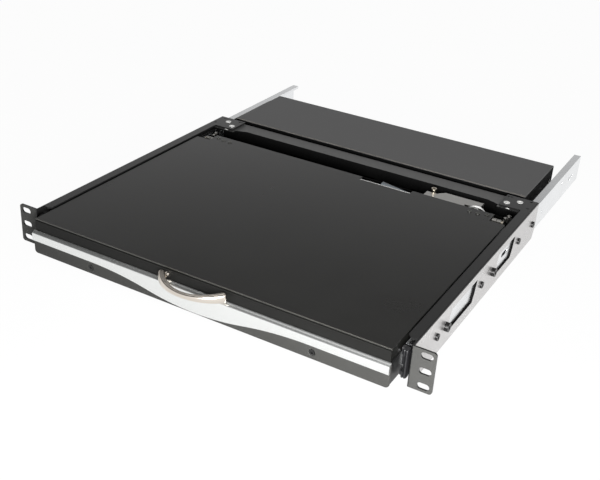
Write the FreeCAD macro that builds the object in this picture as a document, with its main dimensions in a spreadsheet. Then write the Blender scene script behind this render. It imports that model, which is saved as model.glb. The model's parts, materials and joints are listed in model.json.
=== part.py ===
"""Rack-mounted LCD console drawer, one rack unit high, as a parametric FreeCAD document.

Frame: X to the right, Y into the rack, Z up.  Y = 0 is the rear face of the mounting ears,
and Z = 0 is the middle of the rack unit.  All lengths are in millimetres.
"""
import FreeCAD, Part
import math
import os
from types import SimpleNamespace

import Sketcher
from FreeCAD import Placement, Rotation, Vector

SIZES = {
    # rack ears and side panels
    "ear_reach": 21.8,  # beyond each side panel: 482.6 over both ears
    "unit_height": 43.66,  # one rack unit, less its running gap
    "slot_inset": 8.75,  # slot centres in from an ear's edge: 465.1 between the ears
    "slot_pitch": 15.875,  # slot centres, up one ear
    "slot_length": 12.0,
    "slot_width": 6.6,
    "ear_radius": 3.0,
    "chassis_width": 439.0,  # over the side panels
    "chassis_sheet": 2.0,
    "panel_depth": 344.0,
    "bend_radius": 1.4,
    "flange_width": 11.5,
    "flange_start": 9.0,
    "gusset_width": 37.5,
    "gusset_length": 31.0,
    "rear_corner_depth": 6.0,
    "rear_corner_height": 12.0,
    "front_window_start": 84.0,
    "front_window_length": 69.0,
    "rear_window_setback": 132.0,  # before the panel's rear
    "rear_window_length": 54.0,
    "window_top": 12.5,
    "window_bottom": 10.0,
    "window_corner": 4.0,
    "gusset_hole_radius": 1.5,
    "gusset_hole_inset": 4.0,
    "gusset_screw_rear": 12.0,
    "gusset_screw_side": 6.5,
    "gusset_screw_front": 9.0,
    "screw_row_front": 54.0,
    "screw_second_share": 0.24,  # of the way from one window to the other
    "screw_third_setback": 63.0,  # from the panel's rear edge
    "screw_rear_setback": 14.0,
    "bolt_row_front": 75.0,
    "bolt_rear_share": 0.78,
    "screw_radius": 2.0,
    "screw_head_radius": 3.6,
    "screw_head_height": 2.0,
    "flat_head_height": 0.35,
    "small_screw_radius": 1.5,
    "small_head_radius": 2.7,
    "small_head_height": 1.0,
    "bolt_head_radius": 4.6,
    "bolt_head_height": 4.0,
    # telescopic slides
    "slide_space": 11.5,  # between a side panel and the drawer
    "rail_height": 32.0,
    "rail_front": 6.0,
    "rail_length": 522.0,
    "rail_metal": 1.2,
    "rail_depth": 8.7,
    "rail_lip": 3.5,
    "ball_radius": 1.8,
    "ball_fit": 0.05,
    "race_depth": 0.4,
    "web_gap": 1.4,
    "cage_metal": 0.6,
    "cage_clearance": 0.5,
    "cage_length": 125.0,
    "cage_start": 90.0,
    "cage_end_margin": 10.0,
    "ball_hole_clearance": 0.15,
    "middle_rail_start": 5.0,
    "middle_rail_end_gap": 11.0,  # before the drawer's rear
    "inner_rail_start": 6.0,
    "inner_rail_end_gap": 16.0,
    "inner_screw_margin": 24.0,
    "bumper_length": 8.0,
    "bumper_height": 31.0,
    "bumper_width": 7.0,
    "bumper_radius": 1.5,
    "plug_length": 5.0,
    "plug_clearance": 0.3,
    "rail_slot_setback": 19.0,  # behind the front of the rear window
    "rail_slot_length": 19.0,
    "rail_slot_width": 5.0,
    "rail_slot_up": 3.0,
    "rail_end_hole_radius": 2.3,
    "rail_end_hole_back": 34.0,
    "rail_end_hole_pitch": 10.0,
    "rail_small_hole_radius": 1.6,
    "rail_high_hole_back": 78.0,
    "rail_high_hole_up": 6.5,
    "rail_low_hole_back": 156.0,
    "rail_low_hole_down": 1.5,
    # drawer tray and front
    "drawer_front": 16.5,
    "drawer_rear_gap": 7.0,  # before the crossmember
    "drawer_sheet": 1.2,
    "tray_bottom": 18.0,
    "tray_top": 6.5,
    "fascia_width": 415.0,
    "fascia_bottom": 19.0,
    "fascia_top": 5.5,
    "fascia_thickness": 2.5,
    "fascia_radius": 1.6,
    "fascia_corner": 4.0,
    "fascia_screw_x": 130.0,
    "fascia_screw_z": 11.5,
    "fascia_screw_radius": 2.9,
    "fascia_screw_setback": 0.2,
    "trim_width": 414.0,
    "trim_thickness": 2.0,
    "trim_bevel": 2.0,
    "trim_reach": 0.2,
    "trim_edge": 3.4,
    "bow_half_length": 129.0,
    "bow_depth": 13.1,
    "bow_share": 0.426,  # of the half length, where the curve turns the other way
    "trim_round": 0.8,
    # keyboard
    "deck_top": 3.8,
    "deck_wall": 1.6,
    "deck_hinge_gap": 14.0,
    "deck_clearance": 0.3,
    "key_pitch": 19.0,
    "key_gap": 0.8,
    "key_top": 6.0,
    "key_height": 6.0,
    "key_taper": 1.6,
    "function_key_depth": 13.0,
    "key_row_start": 112.0,
    "keypad_space": 7.0,
    "key_travel": 2.5,
    "key_bed_gap": 0.3,
    "key_bed_thickness": 1.2,
    "key_frame_gap": 0.5,
    "key_stem_half": 2.0,
    "key_stem_gap": 0.3,
    "key_bed_margin": 6.0,
    "touch_width": 84.0,
    "touch_depth": 54.0,
    "touch_start": 26.0,
    "touch_thickness": 1.4,
    "touch_button_depth": 12.0,
    "touch_button_height": 3.0,
    "touch_gap": 0.4,
    "post_radius": 3.0,
    "post_inset": 8.0,
    # lid with the display
    "lid_side_gap": 0.5,
    "lid_front": 16.2,
    "lid_overhang": 7.0,  # behind the hinge axis
    "lid_bottom": 7.2,
    "lid_top": 20.7,
    "lid_wall": 1.5,
    "lid_seam": 0.6,
    "lid_front_setback": 0.5,
    "lid_strip_thickness": 2.5,
    "bezel_thickness": 2.0,
    "lid_recess_width": 18.5,
    "lid_recess_depth": 18.0,
    "notch_start": 22.0,
    "notch_end": 87.0,
    "notch_depth": 8.0,
    "display_width": 326.0,
    "display_rear_gap": 27.5,
    "display_front": 6.0,
    "display_thickness": 8.0,
    "screen_width": 304.0,
    "screen_rear_margin": 13.0,
    "glass_margin": 1.0,
    "glass_setback": 0.3,
    "screen_setback": 12.5,
    "osd_inset": 21.0,
    "osd_spacing": 26.0,
    "osd_radius": 3.5,
    "osd_proud": 0.7,
    "osd_height": 5.0,
    "osd_gap": 0.3,
    # hinges
    "hinge_setback": 36.0,  # before the drawer's rear
    "hinge_z": 14.0,
    "pin_radius": 2.5,
    "pin_fit": 0.05,
    "knuckle_radius": 5.0,
    "knuckle_length": 5.0,
    "knuckle_gap": 0.4,
    "hinge_foot_width": 18.0,
    "hinge_foot_length": 18.0,
    "hinge_foot_height": 2.5,
    "hinge_arm_length": 32.0,
    "hinge_arm_half": 2.2,
    "hinge_arm_slot": 0.3,
    "hinge_arm_root": 10.0,
    "hinge_leaf_gap": 0.5,
    "hinge_plate_setback": 2.0,
    "hinge_plate_height": 2.0,
    "pin_head_radius": 4.0,
    "pin_head_length": 2.2,
    "lid_screw_radius": 2.4,
    "lid_screw_height": 0.8,
    "lid_screw_side": 6.5,
    "lid_screw_pitch": 9.75,
    "lid_screw_front": 3.0,
    # bow handle
    "handle_half_width": 37.8,
    "handle_offset": 2.0,  # to the left of the middle
    "handle_reach": 24.8,
    "handle_stand": 2.8,
    "handle_end_height": 11.0,
    "handle_end_round": 2.6,
    "handle_mid_height": 5.6,
    "handle_z": 12.6,
    "handle_thickness": 5.0,
    "handle_post_radius": 3.2,
    "handle_post_sink": 1.5,
    "handle_post_inset": 5.0,
    "handle_round": 1.3,
    # crossmember, controller box and what it holds
    "cross_setback": 21.0,  # before the side panels' rear
    "cross_top": 18.8,
    "cross_sheet": 1.5,
    "cross_bottom": 21.5,
    "cross_flare_start": 166.0,
    "cross_ear_start": 180.0,
    "cross_ear_setback": 32.0,
    "cross_slant": 5.0,
    "cross_wall_gap": 4.0,
    "cross_foot_reach": 41.0,  # behind the side panels
    "cross_end_gap": 0.3,
    "cable_hole_length": 50.0,
    "cable_hole_width": 14.0,
    "cable_hole_pitch": 90.0,
    "cable_hole_down": 2.0,
    "boss_radius": 4.5,
    "ledge_screw_side": 12.5,
    "ledge_screw_front": 4.0,
    "box_width": 402.0,
    "box_gap_front": 7.0,  # behind the side panels
    "box_depth": 110.0,
    "box_top": 21.6,
    "box_sheet": 1.2,
    "box_skirt_bottom": 19.0,
    "box_gap": 0.2,
    "box_screw_inset": 14.0,
    "box_screw_up": 6.0,
    "board_width": 360.0,
    "board_depth": 84.0,
    "board_height": 7.0,
    "board_thickness": 1.6,
    "board_rear_gap": 4.0,
    "board_post_radius": 3.5,
    "board_post_inset": 8.0,
    "socket_proud": 1.5,
    "connector_gap": 0.3,
    "socket_wall": 0.6,
    "socket_depth": 12.0,
    "socket_mouth": 6.0,
    "video_x": 96.0,
    "video_width": 16.8,
    "video_height": 8.5,
    "video_foot": 2.0,
    "video_foot_side": 5.0,
    "usb_x": 30.0,
    "usb_spacing": 18.0,
    "usb_width": 13.2,
    "usb_height": 6.0,
    "usb_tongue_inset": 1.8,
    "usb_tongue_height": 1.6,
    "power_x": -100.0,
    "inlet_radius": 5.5,
    "inlet_bore_radius": 3.2,
    "inlet_pin_radius": 1.0,
    "inlet_bore_depth": 10.0,
    # rear cable cover and lead
    "cover_left": 98.0,
    "cover_right": 165.0,
    "cover_hinge_gap": 11.5,
    "cover_rear_gap": 2.5,
    "cover_step": 12.0,
    "cover_step_slant": 8.0,
    "cover_step_depth": 8.5,
    "cover_hole_side": 5.0,
    "cover_hole_front": 2.0,
    "cover_hole_length": 12.0,
    "cover_hole_width": 5.0,
    "cover_top": 17.0,
    "cover_metal": 1.2,
    "standoff_inset": 6.0,
    "standoff_rear_gap": 5.5,
    "standoff_radius": 3.2,
    "standoff_top": 20.0,
    "standoff_bore_depth": 3.0,
    "ribbon_margin": 4.0,
    "ribbon_drop": 3.0,
    "ribbon_thickness": 1.0,
    "ribbon_bend": 3.0,
    "lead_radius": 1.1,
}


class Length:
    """A size that keeps its number and the spreadsheet formula that gives it."""

    def __init__(self, value, formula):
        self.value = float(value)
        self.formula = formula

    def __add__(self, other):
        other = length(other)
        return Length(self.value + other.value, f"({self.formula} + {other.formula})")

    def __radd__(self, other):
        return length(other) + self

    def __neg__(self):
        return Length(-self.value, f"(0 - {self.formula})")

    def __sub__(self, other):
        return self + (-length(other))

    def __rsub__(self, other):
        return length(other) - self

    def __mul__(self, other):
        other = length(other)
        return Length(self.value * other.value, f"({self.formula} * {other.formula})")

    def __rmul__(self, other):
        return length(other) * self

    def __truediv__(self, other):
        other = length(other)
        return Length(self.value / other.value, f"({self.formula} / {other.formula})")


def length(number):
    """A plain number as a Length; a Length stays as it is."""
    return number if isinstance(number, Length) else Length(number, repr(float(number)))


def root(size):
    """Square root of a Length."""
    return Length(math.sqrt(size.value), f"sqrt({size.formula})")


doc = FreeCAD.newDocument("ConsoleDrawer")
sheet = doc.addObject("Spreadsheet::Sheet", "Sizes")


def fill_sheet():
    """Write each driving size to the sheet, one row each, and return them as Lengths."""
    sizes = {}
    for row, (name, number) in enumerate(SIZES.items(), start=1):
        sheet.set(f"A{row}", name)
        sheet.set(f"B{row}", str(number))
        sheet.setAlias(f"B{row}", name)
        sizes[name] = Length(number, f"Sizes.{name}")
    doc.recompute()
    return SimpleNamespace(**sizes)


d = fill_sheet()

# Places that several pieces share.
half_height = d.unit_height / 2
panel_face = d.chassis_width / 2
panel_inner = panel_face - d.chassis_sheet
drawer_side = panel_inner - d.slide_space
flange_edge = panel_face - d.flange_width
gusset_edge = panel_face - d.gusset_width
gusset_front = d.panel_depth - d.gusset_length
gusset_under = half_height - d.chassis_sheet
cross_front = d.panel_depth - d.cross_setback
box_front = d.panel_depth + d.box_gap_front
box_rear = box_front + d.box_depth
drawer_rear = cross_front - d.drawer_rear_gap
hinge_y = drawer_rear - d.hinge_setback
lid_rear = hinge_y + d.lid_overhang
tray_floor = d.drawer_sheet - d.tray_bottom
deck_side = drawer_side - d.drawer_sheet - d.deck_clearance
lid_side = drawer_side - d.lid_side_gap
recess_side = lid_side - d.lid_recess_width
recess_front = lid_rear - d.lid_recess_depth

nodes = {}


# ---------------------------------------------------------------- drawing helpers
def corner(u, v):
    """A straight run of an outline, to (u, v)."""
    return (length(u), length(v), None, None, None)


def bend(u, v, centre_u, centre_v, turn):
    """A round run of an outline, to (u, v) about a centre; turn is left or right."""
    return (length(u), length(v), length(centre_u), length(centre_v), turn)


def rectangle(u_low, u_high, v_low, v_high):
    """Outline of a rectangle."""
    return [corner(u_low, v_low), corner(u_high, v_low), corner(u_high, v_high), corner(u_low, v_high)]


def rounded(u_low, u_high, v_low, v_high, radius):
    """Outline of a rectangle with four round corners."""
    low_u, high_u = u_low + radius, u_high - radius
    low_v, high_v = v_low + radius, v_high - radius
    return [
        corner(high_u, v_low),
        bend(u_high, low_v, high_u, low_v, "left"),
        corner(u_high, high_v),
        bend(high_u, v_high, high_u, high_v, "left"),
        corner(low_u, v_high),
        bend(u_low, high_v, low_u, high_v, "left"),
        corner(u_low, low_v),
        bend(low_u, v_low, low_u, low_v, "left"),
    ]


def slot(centre_u, centre_v, long_side, width):
    """Outline of a slot with round ends, long side along u."""
    radius = width / 2
    left, right = centre_u - long_side / 2 + radius, centre_u + long_side / 2 - radius
    return [
        corner(right, centre_v - radius),
        bend(right, centre_v + radius, right, centre_v, "left"),
        corner(left, centre_v + radius),
        bend(left, centre_v - radius, left, centre_v, "left"),
    ]


def circle(centre_u, centre_v, radius):
    """A full circle, as a loop of its own."""
    return ("circle", length(centre_u), length(centre_v), length(radius))


def lock(sketch, kind, geometry, point, size):
    """Tie one coordinate of a sketch point to a size."""
    index = sketch.addConstraint(Sketcher.Constraint(kind, geometry, point, size.value))
    sketch.setExpression(f"Constraints[{index}]", size.formula)


def draw_circle(sketch, loop):
    """Draw a circle whose centre and radius follow their sizes."""
    centre_u, centre_v, radius = loop[1:]
    centre = Vector(centre_u.value, centre_v.value, 0)
    index = sketch.addGeometry(Part.Circle(centre, Vector(0, 0, 1), radius.value))
    constraint = sketch.addConstraint(Sketcher.Constraint("Radius", index, radius.value))
    sketch.setExpression(f"Constraints[{constraint}]", radius.formula)
    lock(sketch, "DistanceX", index, 3, centre_u)
    lock(sketch, "DistanceY", index, 3, centre_v)


def draw_run(sketch, start, run):
    """Draw one run of an outline; return its index and which of its points is start and end."""
    u, v, centre_u, centre_v, turn = run
    first = Vector(start[0].value, start[1].value, 0)
    last = Vector(u.value, v.value, 0)
    if turn is None:
        return sketch.addGeometry(Part.LineSegment(first, last)), 1, 2
    centre = Vector(centre_u.value, centre_v.value, 0)
    ring = Part.Circle(centre, Vector(0, 0, 1), (first - centre).Length)
    begin, end = (first, last) if turn == "left" else (last, first)
    angles = [math.atan2(point.y - centre.y, point.x - centre.x) for point in (begin, end)]
    index = sketch.addGeometry(Part.ArcOfCircle(ring, angles[0], angles[1]))
    wide = abs(last.x - first.x) > abs(last.y - first.y)
    lock(sketch, "DistanceY" if wide else "DistanceX", index, 3, centre_v if wide else centre_u)
    return (index, 1, 2) if turn == "left" else (index, 2, 1)


def draw_loop(sketch, loop):
    """Draw a closed outline and lock each of its corners to its sizes."""
    if loop[0] == "circle":
        draw_circle(sketch, loop)
        return
    runs = [draw_run(sketch, loop[i - 1], loop[i]) for i in range(len(loop))]
    for i, (index, _, end) in enumerate(runs):
        following, start, _ = runs[(i + 1) % len(runs)]
        sketch.addConstraint(Sketcher.Constraint("Coincident", index, end, following, start))
        lock(sketch, "DistanceX", index, end, loop[i][0])
        lock(sketch, "DistanceY", index, end, loop[i][1])


ROLES = {"X": "YZ_Plane", "Y": "XZ_Plane", "Z": "XY_Plane"}


def sketch_at(body, name, axis, place, loops):
    """A sketch across an axis of the body, at a place on it; across Y its normal is -Y."""
    sketch = body.newObject("Sketcher::SketchObject", name)
    plane = next(item for item in body.Origin.OriginFeatures if item.Role == ROLES[axis])
    sketch.AttachmentSupport = [(plane, "")]
    sketch.MapMode = "FlatFace"
    offset = -place if axis == "Y" else place
    sketch.setExpression("AttachmentOffset.Base.z", offset.formula)
    for loop in loops:
        draw_loop(sketch, loop)
    return sketch


def new_body(name):
    """An empty body, whose label is the node's name."""
    body = doc.addObject("PartDesign::Body", name)
    body.Label = name
    nodes[name] = body
    return body


def pad(body, name, axis, low, high, *loops):
    """Add material between two places on an axis."""
    low, high = length(low), length(high)
    sketch = sketch_at(body, f"{name}_sketch", axis, high if axis == "Y" else low, loops)
    feature = body.newObject("PartDesign::Pad", name)
    feature.Profile = sketch
    feature.setExpression("Length", (high - low).formula)
    return feature


def pocket(body, name, axis, low, high, *loops):
    """Cut material away between two places on an axis, and make sure that some went."""
    low, high = length(low), length(high)
    doc.recompute()
    before = body.Shape.Volume
    sketch = sketch_at(body, f"{name}_sketch", axis, low if axis == "Y" else high, loops)
    feature = body.newObject("PartDesign::Pocket", name)
    feature.Profile = sketch
    feature.setExpression("Length", (high - low).formula)
    doc.recompute()
    if body.Shape.Volume > before - 1e-6:
        raise RuntimeError(f"{body.Label}: {name} cut nothing")
    return feature


def round_edges(body, name, radius, wanted):
    """Fillet the edges of the body that the test picks."""
    doc.recompute()
    base = body.Tip
    names = [f"Edge{i}" for i, edge in enumerate(base.Shape.Edges, start=1) if wanted(edge)]
    if not names:
        raise RuntimeError(f"{body.Label}: {name} found no edge")
    feature = body.newObject("PartDesign::Fillet", name)
    feature.Base = (base, names)
    feature.setExpression("Radius", radius.formula)
    return feature


def along(edge, axis):
    """Whether an edge is straight and runs along an axis."""
    if edge.Curve.TypeId != "Part::GeomLine":
        return False
    span = edge.Vertexes[-1].Point - edge.Vertexes[0].Point
    return abs(abs(span.dot(axis)) - span.Length) < 1e-6


def near(number, size):
    """Whether a measured coordinate is at a size."""
    return abs(number - size.value) < 1e-4


AXIS_X, AXIS_Y, AXIS_Z = Vector(1, 0, 0), Vector(0, 1, 0), Vector(0, 0, 1)


def place_at(shape_object, x, y, z):
    """Tie an object's place to sizes."""
    for axis, size in zip("xyz", (x, y, z)):
        shape_object.setExpression(f"Placement.Base.{axis}", length(size).formula)


def block(name, x, y, z):
    """A box between two places on each axis."""
    box = doc.addObject("Part::Box", name)
    for side, (low, high) in zip(("Length", "Width", "Height"), (x, y, z)):
        box.setExpression(side, (length(high) - length(low)).formula)
    place_at(box, x[0], y[0], z[0])
    return box


TURNS = {
    "X": Rotation(AXIS_Y, 90),
    "-X": Rotation(AXIS_Y, -90),
    "Y": Rotation(AXIS_X, -90),
    "-Y": Rotation(AXIS_X, 90),
    "Z": Rotation(),
    "-Z": Rotation(AXIS_X, 180),
}


def cylinder(name, radius, reach, start, direction):
    """A cylinder from a start point along a direction."""
    item = doc.addObject("Part::Cylinder", name)
    item.Placement = Placement(Vector(), TURNS[direction])
    item.setExpression("Radius", length(radius).formula)
    item.setExpression("Height", length(reach).formula)
    place_at(item, *start)
    return item


def fuse(name, parts):
    """Several overlapping or touching solids as one."""
    item = doc.addObject("Part::MultiFuse", name)
    item.Shapes = parts
    return item


def cut(name, base, tool):
    """One solid less another."""
    item = doc.addObject("Part::Cut", name)
    item.Base = base
    item.Tool = tool
    return item


def group(name, parts):
    """Separate solids under one node's name."""
    item = doc.addObject("Part::Compound", name)
    item.Links = parts
    item.Label = name
    nodes[name] = item
    return item


def single(item, name):
    """Make an object the node of that name."""
    item.Label = name
    nodes[name] = item
    return item


def mirror(source, name):
    """The same piece on the other side of the middle plane."""
    item = doc.addObject("Part::Mirroring", name)
    item.Source = source
    item.Normal = AXIS_X
    return item


def mirrored_node(source, name):
    """A node that is the other hand of a piece."""
    return single(mirror(source, name), name)


def step(start, direction, reach):
    """The point that lies a length along a direction from a start point."""
    axis = direction[-1]
    sign = -1 if direction[0] == "-" else 1
    return tuple(length(at) + sign * reach if name == axis else length(at) for at, name in zip(start, "XYZ"))


HEXAGON = 0.5  # corner radius of a hexagon socket, as a share of the head's radius


def screw(name, seat, direction, shank, head, head_height, reach):
    """A screw whose head stands out of its seat along a direction, with a socket in its head."""
    back = direction[-1] if direction[0] == "-" else f"-{direction}"
    head_part = cylinder(f"{name}_head", head, head_height, seat, direction)
    shank_part = cylinder(f"{name}_shank", shank, reach, seat, back)
    socket = doc.addObject("Part::Prism", f"{name}_socket")
    socket.Polygon = 6
    socket.setExpression("Circumradius", (head * HEXAGON).formula)
    socket.setExpression("Height", head_height.formula)
    socket.Placement = Placement(Vector(), TURNS[direction])
    place_at(socket, *step(seat, direction, head_height / 2))
    return cut(name, fuse(f"{name}_body", [head_part, shank_part]), socket)


# ---------------------------------------------------------------- chassis
rear_window_start = d.panel_depth - d.rear_window_setback


def side_screw_rows():
    """Where the rail's screws and its two larger bolts sit along the panel."""
    window_end = d.front_window_start + d.front_window_length
    between = rear_window_start - window_end
    screws = [
        d.screw_row_front,
        window_end + between * d.screw_second_share,
        d.panel_depth - d.screw_third_setback,
        d.panel_depth - d.screw_rear_setback,
    ]
    return screws, [d.bolt_row_front, window_end + between * d.bolt_rear_share]


def window(start, long_side):
    """Outline of a panel window: square at its front top, with its other corners cut off."""
    end = start + long_side
    return [
        corner(start, -d.window_bottom + d.window_corner),
        corner(start + d.window_corner, -d.window_bottom),
        corner(end - 2 * d.window_corner, -d.window_bottom),
        corner(end - d.window_corner, -d.window_bottom + 2 * d.window_corner),
        corner(end, d.window_top),
        corner(start + d.window_corner, d.window_top),
        corner(start, d.window_top - 2 * d.window_corner),
    ]


def side_panel():
    """Folded panel: web with windows, rack ear in front, flange and gusset on top."""
    body = new_body("side_panel_right")
    screws, bolts = side_screw_rows()
    holes = [circle(row, 0, d.screw_radius) for row in screws + bolts]
    web = [
        corner(-d.chassis_sheet, -half_height),
        corner(d.panel_depth - d.rear_corner_depth, -half_height),
        corner(d.panel_depth, d.rear_corner_height - half_height),
        corner(d.panel_depth, half_height),
        corner(-d.chassis_sheet, half_height),
    ]
    windows = [
        window(d.front_window_start, d.front_window_length),
        window(rear_window_start, d.rear_window_length),
    ]
    pad(body, "web", "X", panel_inner, panel_face, web, *windows, *holes)
    flange = [
        corner(panel_face, d.flange_start),
        corner(panel_face, d.panel_depth),
        corner(gusset_edge, d.panel_depth),
        corner(gusset_edge, gusset_front),
        corner(flange_edge, gusset_front),
        corner(flange_edge, d.flange_start + d.window_corner),
        corner(flange_edge + d.window_corner, d.flange_start),
    ]
    small_holes = [circle(x, y, d.gusset_hole_radius) for x, y in gusset_holes()]
    screw_holes = [circle(x, y, d.screw_radius) for x, y in gusset_screw_places()]
    pad(body, "flange", "Z", gusset_under, half_height, flange, *small_holes, *screw_holes)

    def top_bend(edge):
        middle = edge.BoundBox.Center
        return along(edge, AXIS_Y) and near(middle.x, panel_face) and near(middle.z, half_height)

    round_edges(body, "top_bend", d.bend_radius, top_bend)
    outer = panel_face + d.ear_reach
    ear = [
        corner(outer - d.ear_radius, -half_height),
        bend(outer, d.ear_radius - half_height, outer - d.ear_radius, d.ear_radius - half_height, "left"),
        corner(outer, half_height - d.ear_radius),
        bend(outer - d.ear_radius, half_height, outer - d.ear_radius, half_height - d.ear_radius, "left"),
        corner(panel_inner, half_height),
        corner(panel_inner, -half_height),
    ]
    column = outer - d.slot_inset
    slots = [slot(column, row * d.slot_pitch, d.slot_length, d.slot_width) for row in (-1, 0, 1)]
    pad(body, "ear", "Y", -d.chassis_sheet, 0, ear, *slots)

    def front_bend(edge):
        middle = edge.BoundBox.Center
        return along(edge, AXIS_Z) and near(middle.x, panel_inner) and near(middle.y, -d.chassis_sheet)

    round_edges(body, "front_bend", d.bend_radius, front_bend)
    mirrored_node(body, "side_panel_left")


def gusset_holes():
    """Four small open holes in each gusset."""
    inset = d.gusset_hole_inset
    rear = d.panel_depth - inset
    return [
        (panel_face - inset * 1.5, gusset_front + inset * 2),
        (panel_face - inset * 2, rear),
        (gusset_edge + inset * 1.6, rear),
        (gusset_edge + inset * 0.6, rear),
    ]


def gusset_screw_places():
    """Where each gusset is screwed to the crossmember."""
    outer = (panel_face - d.gusset_width / 2, d.panel_depth - d.gusset_screw_rear)
    return [outer, (gusset_edge + d.gusset_screw_side, gusset_front + d.gusset_screw_front)]


def panel_fixings():
    """Screws and bolts that hold the outer rail to the side panel."""
    screws, bolts = side_screw_rows()
    reach = d.chassis_sheet + d.rail_metal
    parts = []
    for i, row in enumerate(screws):
        seat = (panel_face, row, 0)
        head = (d.screw_head_radius, d.screw_head_height)
        parts.append(screw(f"panel_screw_{i}", seat, "X", d.screw_radius, *head, reach))
    for i, row in enumerate(bolts):
        seat = (panel_face, row, 0)
        head = (d.bolt_head_radius, d.bolt_head_height)
        parts.append(screw(f"panel_bolt_{i}", seat, "X", d.screw_radius, *head, reach))
    right = group("panel_screws_right", parts)
    mirrored_node(right, "panel_screws_left")


# ---------------------------------------------------------------- telescopic slides
race = d.ball_radius + d.ball_fit
race_half = root(2 * race * d.race_depth - d.race_depth * d.race_depth)
outer_half = d.rail_height / 2
outer_ball_x = panel_inner - (d.rail_depth + d.rail_metal) / 2 + d.rail_metal / 2
outer_ball_z = outer_half - d.rail_metal + d.race_depth - race
middle_half = outer_ball_z - race + d.race_depth
middle_face = panel_inner - d.rail_metal - d.web_gap
inner_ball_z = middle_half - d.rail_metal + d.race_depth - race
inner_half = inner_ball_z - race + d.race_depth
inner_tip = middle_face - d.rail_metal - d.web_gap
inner_ball_x = (drawer_side + d.rail_metal + inner_tip) / 2
middle_tip = drawer_side + d.rail_metal + d.cage_clearance


def outer_rail():
    """Fixed member: a C section with lips, and a ball race in each flange."""
    body = new_body("outer_rail_right")
    face, tip = panel_inner, panel_inner - d.rail_depth
    inside = outer_half - d.rail_metal
    section = [
        corner(face, -outer_half),
        corner(face, outer_half),
        corner(tip, outer_half),
        corner(tip, outer_half - d.rail_lip),
        corner(tip + d.rail_metal, outer_half - d.rail_lip),
        corner(tip + d.rail_metal, inside),
        corner(outer_ball_x - race_half, inside),
        bend(outer_ball_x + race_half, inside, outer_ball_x, outer_ball_z, "right"),
        corner(face - d.rail_metal, inside),
        corner(face - d.rail_metal, -inside),
        corner(outer_ball_x + race_half, -inside),
        bend(outer_ball_x - race_half, -inside, outer_ball_x, -outer_ball_z, "right"),
        corner(tip + d.rail_metal, -inside),
        corner(tip + d.rail_metal, d.rail_lip - outer_half),
        corner(tip, d.rail_lip - outer_half),
        corner(tip, -outer_half),
    ]
    end = d.rail_front + d.rail_length
    pad(body, "section", "Y", d.rail_front, end, section)
    screws, bolts = side_screw_rows()
    holes = [circle(row, 0, d.screw_radius) for row in screws + bolts]
    slot_centre = rear_window_start + d.rail_slot_setback + d.rail_slot_length / 2
    holes.append(slot(slot_centre, d.rail_slot_up, d.rail_slot_length, d.rail_slot_width))
    holes.extend(circle(end - back, up, radius) for back, up, radius in rail_end_holes())
    pocket(body, "holes", "X", face - d.rail_metal - 1, face + 1, *holes)
    mirrored_node(body, "outer_rail_left")


def rail_end_holes():
    """Holes towards the rear end of the outer rail: distance from its end, height, radius."""
    back = d.rail_end_hole_back
    return [
        (back, 0, d.rail_end_hole_radius),
        (back + d.rail_end_hole_pitch, 0, d.rail_end_hole_radius),
        (d.rail_high_hole_back, d.rail_high_hole_up, d.rail_small_hole_radius),
        (d.rail_low_hole_back, -d.rail_low_hole_down, d.rail_small_hole_radius),
    ]


def middle_rail():
    """Middle member: a C section that runs on balls both inside and outside."""
    body = new_body("middle_rail_right")
    face, tip = middle_face, middle_tip
    inside = middle_half - d.rail_metal
    section = [
        corner(face, -middle_half),
        corner(face, middle_half),
        corner(outer_ball_x + race_half, middle_half),
        bend(outer_ball_x - race_half, middle_half, outer_ball_x, outer_ball_z, "right"),
        corner(tip, middle_half),
        corner(tip, inside),
        corner(inner_ball_x - race_half, inside),
        bend(inner_ball_x + race_half, inside, inner_ball_x, inner_ball_z, "right"),
        corner(face - d.rail_metal, inside),
        corner(face - d.rail_metal, -inside),
        corner(inner_ball_x + race_half, -inside),
        bend(inner_ball_x - race_half, -inside, inner_ball_x, -inner_ball_z, "right"),
        corner(tip, -inside),
        corner(tip, -middle_half),
        corner(outer_ball_x - race_half, -middle_half),
        bend(outer_ball_x + race_half, -middle_half, outer_ball_x, -outer_ball_z, "right"),
    ]
    pad(body, "section", "Y", d.middle_rail_start, drawer_rear - d.middle_rail_end_gap, section)
    mirrored_node(body, "middle_rail_left")


def inner_rail():
    """Inner member, fixed to the drawer: a C section that opens outwards."""
    body = new_body("inner_rail_right")
    inside = inner_half - d.rail_metal
    left, right = inner_ball_x - race_half, inner_ball_x + race_half
    section = [
        corner(drawer_side, inner_half),
        corner(left, inner_half),
        bend(right, inner_half, inner_ball_x, inner_ball_z, "left"),
        corner(inner_tip, inner_half),
        corner(inner_tip, inside),
        corner(drawer_side + d.rail_metal, inside),
        corner(drawer_side + d.rail_metal, -inside),
        corner(inner_tip, -inside),
        corner(inner_tip, -inner_half),
        corner(right, -inner_half),
        bend(left, -inner_half, inner_ball_x, -inner_ball_z, "left"),
        corner(drawer_side, -inner_half),
    ]
    pad(body, "section", "Y", d.inner_rail_start, drawer_rear - d.inner_rail_end_gap, section)
    holes = [circle(row, 0, d.screw_radius) for row in inner_screw_rows()]
    pocket(body, "holes", "X", drawer_side - 1, drawer_side + d.rail_metal + 1, *holes)
    mirrored_node(body, "inner_rail_left")


def inner_screw_rows():
    """Where the inner member is screwed to the tray."""
    start, end = d.inner_rail_start, drawer_rear - d.inner_rail_end_gap
    return [start + d.inner_screw_margin, (start + end) / 2, end - d.inner_screw_margin]


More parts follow.
